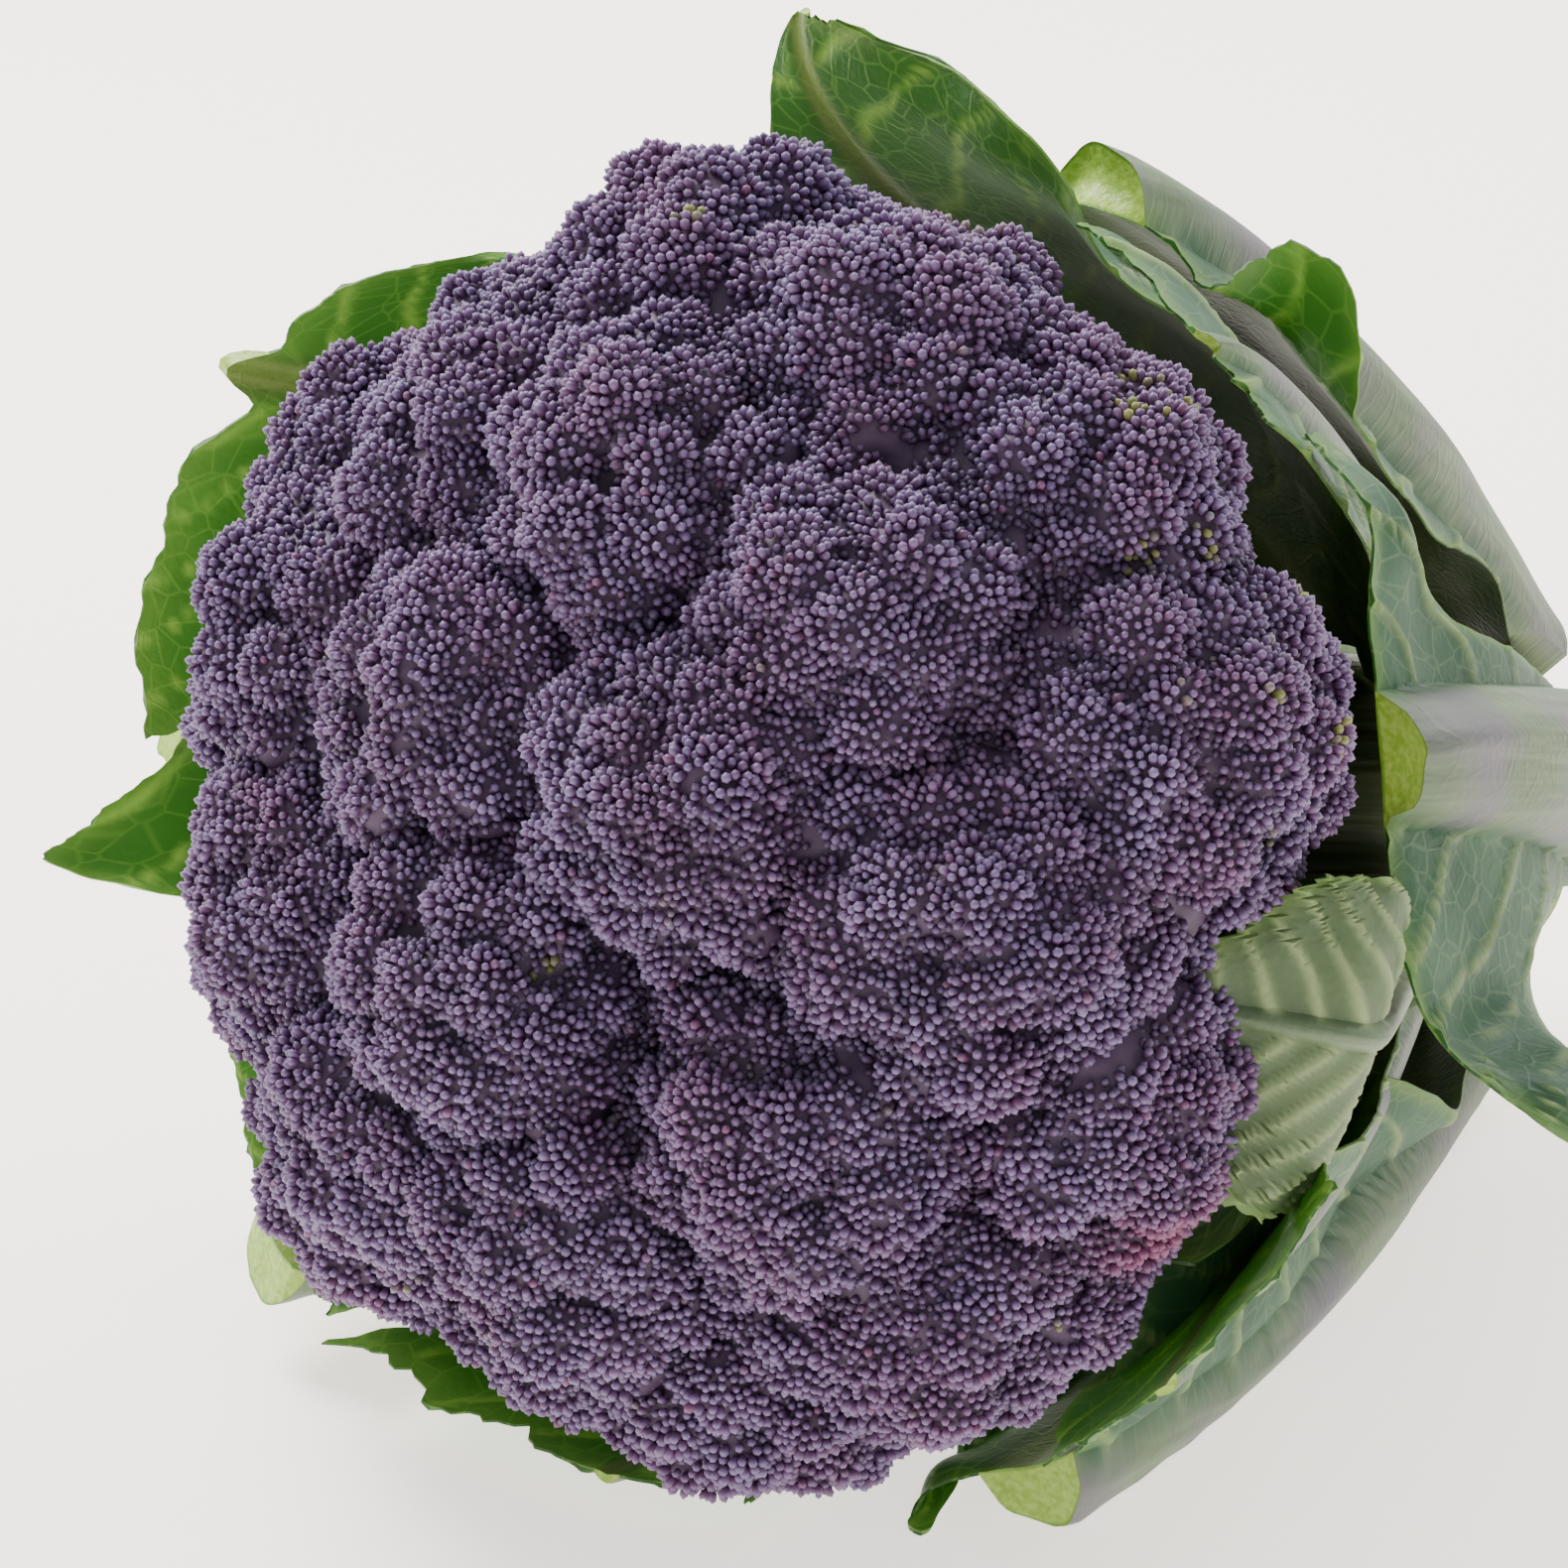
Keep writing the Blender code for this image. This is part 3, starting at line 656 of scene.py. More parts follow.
def bud_tree():
    """Geometry nodes that set one closed bud on every point, facing the way the point says."""
    tree = bpy.data.node_groups.new("bud_cover", "GeometryNodeTree")
    for label, kind, way in (
        ("Geometry", "NodeSocketGeometry", "INPUT"),
        ("Bud Radius", "NodeSocketFloat", "INPUT"),
        ("Bud Half Length", "NodeSocketFloat", "INPUT"),
        ("Segments", "NodeSocketInt", "INPUT"),
        ("Rings", "NodeSocketInt", "INPUT"),
        ("Material", "NodeSocketMaterial", "INPUT"),
        ("Geometry", "NodeSocketGeometry", "OUTPUT"),
    ):
        tree.interface.new_socket(label, in_out=way, socket_type=kind)
    given = add(tree, "NodeGroupInput").outputs
    ball_mesh = add(
        tree, "GeometryNodeMeshUVSphere", {"Radius": 1.0},
        {"Segments": given["Segments"], "Rings": given["Rings"]},
    )
    place = add(tree, "GeometryNodeInputPosition")
    height = add(tree, "ShaderNodeSeparateXYZ", links={0: place.outputs[0]})
    tip = computed(tree, "MULTIPLY_ADD", height.outputs["Z"], 0.5, 0.5)
    marked = add(
        tree, "GeometryNodeStoreNamedAttribute", {"Name": "tip"},
        {"Geometry": ball_mesh.outputs["Mesh"], "Value": tip}, data_type="FLOAT", domain="POINT",
    )
    facing = add(tree, "GeometryNodeInputNamedAttribute", {"Name": "facing"}, data_type="FLOAT_VECTOR")
    turn = add(tree, "FunctionNodeAlignRotationToVector", links={"Vector": facing.outputs[0]}, axis="Z")
    size = add(tree, "GeometryNodeInputNamedAttribute", {"Name": "size"}, data_type="FLOAT")
    extent = add(
        tree, "ShaderNodeCombineXYZ",
        links={0: given["Bud Radius"], 1: given["Bud Radius"], 2: given["Bud Half Length"]},
    )
    scale = add(tree, "ShaderNodeVectorMath", operation="SCALE", links={
        0: extent.outputs[0], "Scale": size.outputs[0],
    })
    buds = add(tree, "GeometryNodeInstanceOnPoints", links={
        "Points": given["Geometry"], "Instance": marked.outputs[0],
        "Rotation": turn.outputs[0], "Scale": scale.outputs[0],
    })
    real = add(tree, "GeometryNodeRealizeInstances", links={0: buds.outputs[0]})
    smooth = add(tree, "GeometryNodeSetShadeSmooth", links={0: real.outputs[0]})
    painted = add(
        tree, "GeometryNodeSetMaterial", links={0: smooth.outputs[0], "Material": given["Material"]}
    )
    add(tree, "NodeGroupOutput", links={0: painted.outputs[0]})
    return tree


def run_tree(holder, tree, values):
    """Run geometry nodes on an object and return the result as a plain mesh."""
    modifier = holder.modifiers.new("nodes", "NODES")
    modifier.node_group = tree
    for item in tree.interface.items_tree:
        if item.in_out == "INPUT" and item.name in values:
            modifier[item.identifier] = values[item.name]
    made = evaluated(holder)
    holder.modifiers.remove(modifier)
    return made


def points_mesh(name, points, scalars, vectors):
    """A mesh of loose points with named values on them."""
    mesh = bpy.data.meshes.new(name)
    mesh.vertices.add(len(points))
    mesh.vertices.foreach_set("co", np.ascontiguousarray(points, dtype=np.float32).ravel())
    for label, values in scalars.items():
        set_values(mesh, label, values)
    for label, values in vectors.items():
        layer = mesh.attributes.new(label, "FLOAT_VECTOR", "POINT").data
        layer.foreach_set("vector", np.ascontiguousarray(values, dtype=np.float32).ravel())
    return mesh


def joined(name, parts):
    """One mesh from several, each with its material index, in world axes."""
    shape = bmesh.new()
    for mesh, index in parts:
        before = len(shape.faces)
        shape.from_mesh(mesh)
        shape.faces.ensure_lookup_table()
        for face in shape.faces[before:]:
            face.material_index = index
            face.smooth = True
    shape.transform(HEAD)
    made = bpy.data.meshes.new(name)
    shape.to_mesh(made)
    shape.free()
    return made


def placed(name, mesh, materials, node):
    """A finished mesh as a piece that stands for a CAD node."""
    for material in materials:
        mesh.materials.append(material)
    piece = linked(name, mesh)
    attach(piece, "root")
    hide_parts(node)


def bud_values(places, owners, count, dice):
    """How each bud looks: its size, its tone, and how rosy or green it is."""
    cluster_tone = dice.random(count)[owners]
    cluster_size = dice.uniform(0.88, 1.14, count)[owners]
    size = cluster_size * dice.uniform(0.9, 1.1, len(places))
    patch = wobble(places, TONE_PATCH, SEED)
    tone = 0.5 + 0.22 * patch + 0.3 * (cluster_tone - 0.5) + dice.normal(size=len(places)) * 0.2
    tone = np.clip(tone, 0.0, 1.0)
    radius = np.hypot(places[:, 0], places[:, 1])
    rimward = np.clip((radius / CROWN_RADIUS - 0.80) / 0.2, 0.0, 1.0)
    towards_right = np.clip(places[:, 0] * 0.55 + places[:, 1] * 0.75, 0.0, None) / CROWN_RADIUS
    rose = np.clip(0.08 + 0.14 * rimward + 0.20 * wobble(places, ROSE_PATCH, SEED + 1), 0.0, 0.42)
    rose = np.where(dice.random(len(places)) < ROSY_SHARE, 0.7, rose) * dice.uniform(0.4, 1.0, len(places))
    blush = np.linalg.norm(places - np.array(BLUSH_PLACE), axis=1) / BLUSH_RADIUS
    rose = np.maximum(rose, np.clip(1.6 - 1.2 * blush, 0.0, 1.0))
    spots = wobble(places, GREEN_PATCH, SEED + 2) - 1.40 + 1.5 * rimward * towards_right
    green = np.clip(spots * 1.6, 0.0, 0.9) * (dice.random(len(places)) < GREEN_SHARE)
    bare = np.linalg.norm(places - np.array(GREEN_PLACE), axis=1) < GREEN_RADIUS
    green = np.where(bare & (dice.random(len(places)) < BARE_SHARE), 0.7, green)
    return {"size": size, "tone": tone, "rose": rose, "green": green}


def make_floret(floret, tree, materials):
    """One floret: its flesh and the buds that cover it."""
    name = floret[0]
    dice = np.random.default_rng(SEED + FLORETS.index(floret) * 31)
    domes = floret_domes(floret, dice)
    places, facings, owners, crease_shade = floret_buds(domes, dice)
    values = bud_values(places, owners, len(domes["clusters"]), dice)
    values["crease_shade"] = crease_shade
    seeds = points_mesh(name + "_points", places, values, {"facing": facings})
    holder = linked(name + "_points", seeds)
    buds = run_tree(holder, tree, {
        "Bud Radius": BUD_RADIUS, "Bud Half Length": BUD_HALF_LENGTH,
        "Segments": BUD_SEGMENTS, "Rings": BUD_RINGS, "Material": materials[0],
    })
    bpy.data.objects.remove(holder)
    flesh = floret_flesh(name + "_flesh", floret, domes)
    whole = joined(name + "_grown", [(buds, 0), (flesh, 1)])
    placed(name + "_grown", whole, materials, name)


# ---------------------------------------------------------------- leaves
LEAF_ROWS = 96
LEAF_COLUMNS = 73
CAP_LAYERS = 6
BLADE_THICKNESS = 1.0 * MM
EDGE_THICKNESS = 0.45 * MM
VEIN_HEIGHT = 0.9 * MM
RIB_GROOVE = 1.2 * MM
TABLE_SAMPLES = 240
SLIM_RIB = ((9.0 * MM, 6.0 * MM), (1.8 * MM, 1.5 * MM))
THREAD_RIB = ((5.0 * MM, 5.0 * MM), (0.7 * MM, 1.2 * MM))


def eased(pairs, where):
    """A soft curve through (place, value) pairs, read at every place asked for."""
    fine = np.linspace(-1.2, 1.2, TABLE_SAMPLES)
    values = np.interp(fine, [pair[0] for pair in pairs], [pair[1] for pair in pairs])
    window = np.hanning(15)
    padded = np.pad(values, 7, mode="edge")
    return np.interp(where, fine, np.convolve(padded, window / window.sum(), mode="valid"))


def station_points(stations, share, side, spec):
    """Points of a leaf's inner face in the head's axes: share from base to tip, side across it."""
    table = np.array(stations, dtype=float)
    last = len(table) - 1
    spot = np.clip(share * last, 0.0, last)
    index = np.minimum(spot.astype(int), last - 1)
    part = (spot - index)[..., None, None]
    first = table[np.maximum(index - 1, 0)]
    second = table[index]
    third = table[index + 1]
    fourth = table[np.minimum(index + 2, last)]
    bend = 2.0 * first - 5.0 * second + 4.0 * third - fourth
    cubic = 3.0 * second - first - 3.0 * third + fourth
    lines = 0.5 * (2.0 * second + (third - first) * part + bend * part**2 + cubic * part**3)
    midrib, greater, lesser = lines[..., 0, :], lines[..., 1, :], lines[..., 2, :]
    side = side[..., None]
    place = midrib + (greater - lesser) / 2.0 * side + ((greater + lesser) / 2.0 - midrib) * side**2
    radius = STEM_RADIUS + PIECE_GAP + (CROWN_RADIUS - STEM_RADIUS) * place[..., 2]
    radius = radius + spec.get("flare", 0.0) * share**3
    lesser_stretch, greater_stretch = spec.get("stretch", (1.0, 1.0))
    stretch = 1.0 + (np.where(side[..., 0] > 0.0, greater_stretch, lesser_stretch) - 1.0) * share**2
    azimuth = midrib[..., 1] + (place[..., 1] - midrib[..., 1]) * stretch + spec.get("swing", 0.0) * share**3
    angle = np.radians(azimuth)
    along = place[..., 0] * STEM_LENGTH + spec.get("lengthen", 0.0) * share**3
    return np.stack([radius * np.cos(angle), radius * np.sin(angle), along], axis=-1)


def turned_about(vectors, axes, angles):
    """Vectors turned about unit axes by angles."""
    cosine = np.cos(angles)[..., None]
    sine = np.sin(angles)[..., None]
    level = (vectors * axes).sum(axis=-1, keepdims=True)
    return vectors * cosine + np.cross(axes, vectors) * sine + axes * level * (1.0 - cosine)


def grid_frame(points):
    """The unit directions along a grid's rows, across them, and out of its outer face."""
    forward = unit(np.gradient(points, axis=0))
    across = unit(np.gradient(points, axis=1))
    return forward, across, unit(np.cross(across, forward))


def bent_back(points, angles):
    """A grid bent towards its outer face along its length, by an angle at every point."""
    _, across, _ = grid_frame(points)
    steps = turned_about(np.diff(points, axis=0), across[:-1], angles[:-1])
    return np.concatenate([points[:1], points[:1] + np.cumsum(steps, axis=0)])


def folded_out(points, angles):
    """A grid folded towards its outer face away from its midrib, by an angle at every point."""
    forward, _, _ = grid_frame(points)
    middle = points.shape[1] // 2
    right = turned_about(np.diff(points[:, middle:], axis=1), -forward[:, middle:-1], angles[:, middle:-1])
    flipped = points[:, middle::-1]
    left = turned_about(np.diff(flipped, axis=1), forward[:, middle:0:-1], angles[:, middle:0:-1])
    spine = points[:, middle:middle + 1]
    left = np.concatenate([spine, spine + np.cumsum(left, axis=1)], axis=1)
    right = spine + np.cumsum(right, axis=1)
    return np.concatenate([left[:, ::-1], right], axis=1)


def ragged(where, rate, seed):
    """One-dimensional noise of about -1 to 1, with small sharp steps like a torn edge."""
    dice = np.random.default_rng(seed)
    total = np.zeros_like(where)
    for octave, weight in ((1.0, 0.6), (2.3, 0.3), (5.1, 0.22)):
        total += weight * np.sin(where * rate * octave * 2.0 * math.pi + dice.random() * 6.28)
    return total


def ramped(values):
    """Values clamped to 0..1 and eased at both ends."""
    held = np.clip(values, 0.0, 1.0)
    return held**2 * (3.0 - 2.0 * held)


def sampled(grid, share, side):
    """A grid read between its points: share along its rows, side from -1 to 1 across them."""
    row = np.clip(share, 0.0, 1.0) * (grid.shape[0] - 1)
    column = (np.clip(side, -1.0, 1.0) + 1.0) / 2.0 * (grid.shape[1] - 1)
    low_row = np.minimum(row.astype(int), grid.shape[0] - 2)
    low_column = np.minimum(column.astype(int), grid.shape[1] - 2)
    down = (row - low_row)[..., None]
    over = (column - low_column)[..., None]
    first = grid[low_row, low_column] * (1.0 - over) + grid[low_row, low_column + 1] * over
    second = grid[low_row + 1, low_column] * (1.0 - over) + grid[low_row + 1, low_column + 1] * over
    return first * (1.0 - down) + second * down


def shaped_grid(spec, stations, share, side, seed):
    """A leaf's whole inner face before its outline is cut: bent, folded, waved and buckled."""
    points = station_points(stations, share, side, spec)
    angles = np.zeros_like(share)
    for start, end, angle, low, high in spec.get("bend", ()):
        window = ramped((side - low) / 0.3 + 0.5) * ramped((high - side) / 0.3 + 0.5)
        angles += math.radians(angle) * ramped((share - start) / (end - start)) * window
    points = bent_back(points, angles)
    angles = np.zeros_like(share)
    for way, start, width, angle, low, high in spec.get("folds", ()):
        ease = spec.get("fold_ease", 0.22)
        window = ramped((share - low) / ease + 0.5) * ramped((high - share) / ease + 0.5)
        angles += math.radians(angle) * ramped((side * way - start) / width) * window
    points = folded_out(points, angles)
    _, _, outward = grid_frame(points)
    size, count = spec.get("waves", (2.0 * MM, 4.0))
    phase = np.where(side > 0.0, 1.7, 0.0) + seed
    margin = np.abs(side) ** 2.2 * np.clip(share * 2.2 - 0.5, 0.0, 1.0)
    wave = np.sin(2.0 * math.pi * count * share + phase + 2.0 * side)
    wave += 0.5 * np.sin(2.0 * math.pi * 2.3 * count * share + 2.0 * phase - 3.0 * side)
    buckle = wobble(points.reshape(-1, 3), 34.0 * MM, seed + 3).reshape(share.shape)
    lift = size * margin * wave
    lift += spec.get("buckle", 1.4 * MM) * buckle * np.clip(np.abs(side) * 2.0, 0.0, 1.0) * share
    return points + outward * lift[..., None]


def leaf_grid(spec, stations, seed):
    """A leaf cut to its outline: the points of its inner face in the head's axes, the direction
    out of its outer face, its share and side at every point, and the lengths across and along."""
    rows = np.linspace(0.0, 1.0, LEAF_ROWS) ** spec.get("crowding", 1.0)
    share, side = np.meshgrid(rows, np.linspace(-1.0, 1.0, LEAF_COLUMNS), indexing="ij")
    whole = shaped_grid(spec, stations, share, side, seed)
    jag = spec.get("jag", 0.03)
    greater = eased(spec.get("greater", ((0, 1), (1, 1))), share)
    lesser = eased(spec.get("lesser", ((0, 1), (1, 1))), share)
    wide = np.where(side > 0.0, greater, lesser)
    # The teeth of the margin reach only a short way into the blade
    near_side = np.abs(side) ** 6
    near_end = share ** 8
    teeth = jag * (1.0 + ragged(share + 3.0 * (side > 0.0), 4.0, seed)) * np.clip(3.0 * share, 0.0, 1.0)
    depth, count = spec.get("scallop", (0.0, 1.0))
    frill = 1.0 - np.abs(np.sin(math.pi * 2.4 * count * share))
    teeth = teeth + 1.5 * depth * frill * ramped(share * 5.0 - 2.5)
    wide = wide * (1.0 - teeth * near_side)
    reach = eased(spec.get("reach", ((-1, 1), (1, 1))), side)
    reach = reach - depth * (1.0 - np.abs(np.sin(math.pi * count * side + 0.8))) * near_end
    torn = np.clip(np.abs(side) * 5.0 - spec.get("cut_half", 0.9), 0.0, 1.0)
    reach = reach - 0.5 * jag * (1.0 + ragged(side, 2.5, seed + 1)) * torn * near_end
    middle = LEAF_COLUMNS // 2
    across = np.linalg.norm(np.diff(whole, axis=1), axis=-1)
    across = np.concatenate([np.zeros((LEAF_ROWS, 1)), np.cumsum(across, axis=1)], axis=1)
    across = across - across[:, middle:middle + 1]
    spine = np.linalg.norm(np.diff(whole[:, middle], axis=0), axis=-1)
    along = np.broadcast_to(np.concatenate([[0.0], np.cumsum(spine)])[:, None], across.shape)
    outward = grid_frame(whole)[2]
    whole = np.concatenate([whole, outward, across[..., None], along[..., None]], axis=-1)
    # Rows are looked up by their number, which runs ahead of their share where rows are crowded
    row = np.interp(share * reach, rows, np.linspace(0.0, 1.0, LEAF_ROWS))
    found = sampled(whole, row, side * wide)
    return found[..., :3], unit(found[..., 3:6]), share, side, found[..., 6], found[..., 7]


def vein_pattern(across, along, pitch, slant, least, seed):
    """How near each point of a leaf is to a side vein: 1 on it, 0 away from it."""
    drift = 0.22 * ragged(along / (90.0 * MM), 1.0, seed) + 0.18 * ragged(across / (60.0 * MM), 1.0, seed + 1)
    line = (along - np.abs(across) * slant - across**2 * 6.0) / pitch + 0.5 * (across > 0.0) + drift
    gap = np.abs(line - np.round(line)) * pitch / math.sqrt(1.0 + slant**2)
    width = least + 0.7 * MM * np.exp(-np.abs(across) / (24.0 * MM))
    return np.exp(-((gap / width) ** 2))


def leaf_faces(index, inside):
    """The faces of a leaf's closed mesh, in order: both sides, the margins and the cut end. The
    outer face's points follow the inner face's, and then come the cut end's own points."""
    count = index.size
    a, b, c, d = index[:-1, :-1], index[:-1, 1:], index[1:, 1:], index[1:, :-1]
    inner_faces = np.stack([d, c, b, a], axis=-1).reshape(-1, 4)
    outer_faces = np.stack([a, b, c, d], axis=-1).reshape(-1, 4) + count
    caps = np.concatenate([index[-1:], inside, index[-1:] + count])
    cap_faces = np.stack([caps[:-1, :-1], caps[:-1, 1:], caps[1:, 1:], caps[1:, :-1]], axis=-1)
    sides = []
    for line, flip in ((index[:, 0], False), (index[:, -1], True), (index[0, :], True)):
        one, two = line[:-1], line[1:]
        quad = np.stack([one, two, two + count, one + count], axis=-1)
        sides.append(quad[:, ::-1] if flip else quad)
    faces = np.concatenate([inner_faces, outer_faces, *sides, cap_faces.reshape(-1, 4)]).tolist()
    # The last face of each long margin also takes in the cut end's points
    surface = 2 * len(inner_faces)
    first, last = index[-1, 0], index[-1, -1]
    row = index.shape[1]
    left_end = [first - row, first, *inside[:, 0], first + count, first + count - row]
    right_end = [last - row, last - row + count, last + count, *inside[::-1, -1], last]
    faces[surface + len(index) - 2] = [int(corner) for corner in left_end]
    faces[surface + 2 * (len(index) - 1) - 1] = [int(corner) for corner in right_end]
    return faces


def leaf_sides(spec, grid, half_width, depth, seed):
    """The inner and outer faces of a leaf, with its rib, veins and margin as shares of 0 to 1."""
    inner, outward, share, side, across, along = grid
    rib = np.sqrt(np.clip(1.0 - (across / half_width) ** 2, 0.0, 1.0))
    vein = vein_pattern(
        across, along, spec.get("pitch", 17.0 * MM), spec.get("slant", 0.85),
        spec.get("vein_width", 0.40 * MM), seed,
    )
    vein = vein * np.clip(np.abs(across) / half_width - 0.6, 0.0, 1.0)
    margin = np.minimum(1.0 - np.abs(side), (1.0 - share) * 1.5)
    thick = EDGE_THICKNESS + (BLADE_THICKNESS - EDGE_THICKNESS) * np.clip(margin * 8.0, 0.0, 1.0)
    ridges = 1.0 + 0.05 * np.sin(across / (1.6 * MM)) * rib
    relief = spec.get("relief", 1.0)
    outer = inner + outward * (thick + depth * rib * ridges + VEIN_HEIGHT * vein * relief)[..., None]
    groove = RIB_GROOVE * np.exp(-((across / (0.6 * half_width)) ** 2)) * (1.0 - 0.6 * share)
    dip = 0.5 * VEIN_HEIGHT * vein * relief + groove
    room = np.clip(thick + depth * rib, 0.0, BLADE_THICKNESS)[..., None]
    inner = inner + outward * dip[..., None] * room / BLADE_THICKNESS
    return inner, outer, rib, vein, margin


def paint_leaf(mesh, spec, grid, half_width, vein, margin, extra):
    """Store what a leaf's material reads, on its inner face, its outer face and its cut end."""
    _, _, share, _, across, along = grid
    edge = np.exp(-np.minimum(margin * 9.0, 8.0))
    rib_mask = np.clip((half_width - np.abs(across)) / (1.6 * MM) + 0.4, 0.0, 1.0)
    mid_mask = np.exp(-((across / (0.70 * half_width)) ** 4))
    ones = np.ones(across.shape)
    tone = spec.get("tone", 0.5) * ones
    hoary = spec.get("hoary", 0.0) * ones
    shaded = 1.0 - ramped((share - spec.get("deep", 0.50)) / 0.45)
    for label, inside, outside in (
        ("vein", vein, vein), ("edge", edge, edge), ("rib", 0.85 * mid_mask, rib_mask),
        ("outer", 0.0 * ones, ones), ("tone", tone, tone), ("rim", ones, ones),
        ("hoary", hoary, hoary), ("deep", shaded, 0.35 - 0.35 * ramped(share / 0.6)),
    ):
        set_values(mesh, label, np.concatenate([inside.ravel(), outside.ravel(), np.zeros(extra)]))
    flat = np.stack([across.ravel(), along.ravel()], axis=1) / MM
    end = np.tile(flat[-LEAF_COLUMNS:], (extra // LEAF_COLUMNS, 1))
    set_lengths(mesh, np.concatenate([flat, flat, end]))


def leaf_mesh(name, petiole, stations, spec, seed):
    """A leaf as a closed mesh with its vein, rib, edge and face values and a UV map in mm."""
    grid = leaf_grid(spec, stations, seed)
    base, tip = petiole
    half_width = base[0] + (tip[0] - base[0]) * grid[2]
    depth = base[1] + (tip[1] - base[1]) * grid[2]
    inner, outer, rib, vein, margin = leaf_sides(spec, grid, half_width, depth, seed)
    layers = np.linspace(0.0, 1.0, CAP_LAYERS + 1)[1:-1, None, None]
    cap = inner[-1] * (1.0 - layers) + outer[-1] * layers
    hollow = spec.get("hollow", 0.0) * (4.0 * layers * (1.0 - layers)) * rib[-1][:, None]
    cap = cap - grid_frame(inner)[0][-1] * hollow
    index = np.arange(rib.size).reshape(rib.shape)
    inside = np.arange(cap.shape[0] * LEAF_COLUMNS).reshape(-1, LEAF_COLUMNS) + 2 * rib.size
    faces = leaf_faces(index, inside)
    points = to_world(np.concatenate([inner.reshape(-1, 3), outer.reshape(-1, 3), cap.reshape(-1, 3)]))
    # A leaf pressed by the floor lies flat on it
    points[:rib.size, 2] = np.maximum(points[:rib.size, 2], 0.9 * MM)
    points[rib.size:, 2] = np.maximum(points[rib.size:, 2], 0.1 * MM)
    mesh = bpy.data.meshes.new(name)
    mesh.from_pydata(points.tolist(), [], faces)
    paint_leaf(mesh, spec, grid, half_width, vein, margin, inside.size)
    cut = np.zeros(len(faces), dtype=np.int32)
    fleshy = (rib[-1, :-1] + rib[-1, 1:]) > 0.05
    cut[-CAP_LAYERS * len(fleshy):] = np.tile(fleshy, CAP_LAYERS)
    mesh.polygons.foreach_set("material_index", cut)
    mesh.polygons.foreach_set("use_smooth", np.ones(len(faces), dtype=bool))
    mesh.set_sharp_from_angle(angle=math.radians(48.0))
    mesh.update()
    return mesh


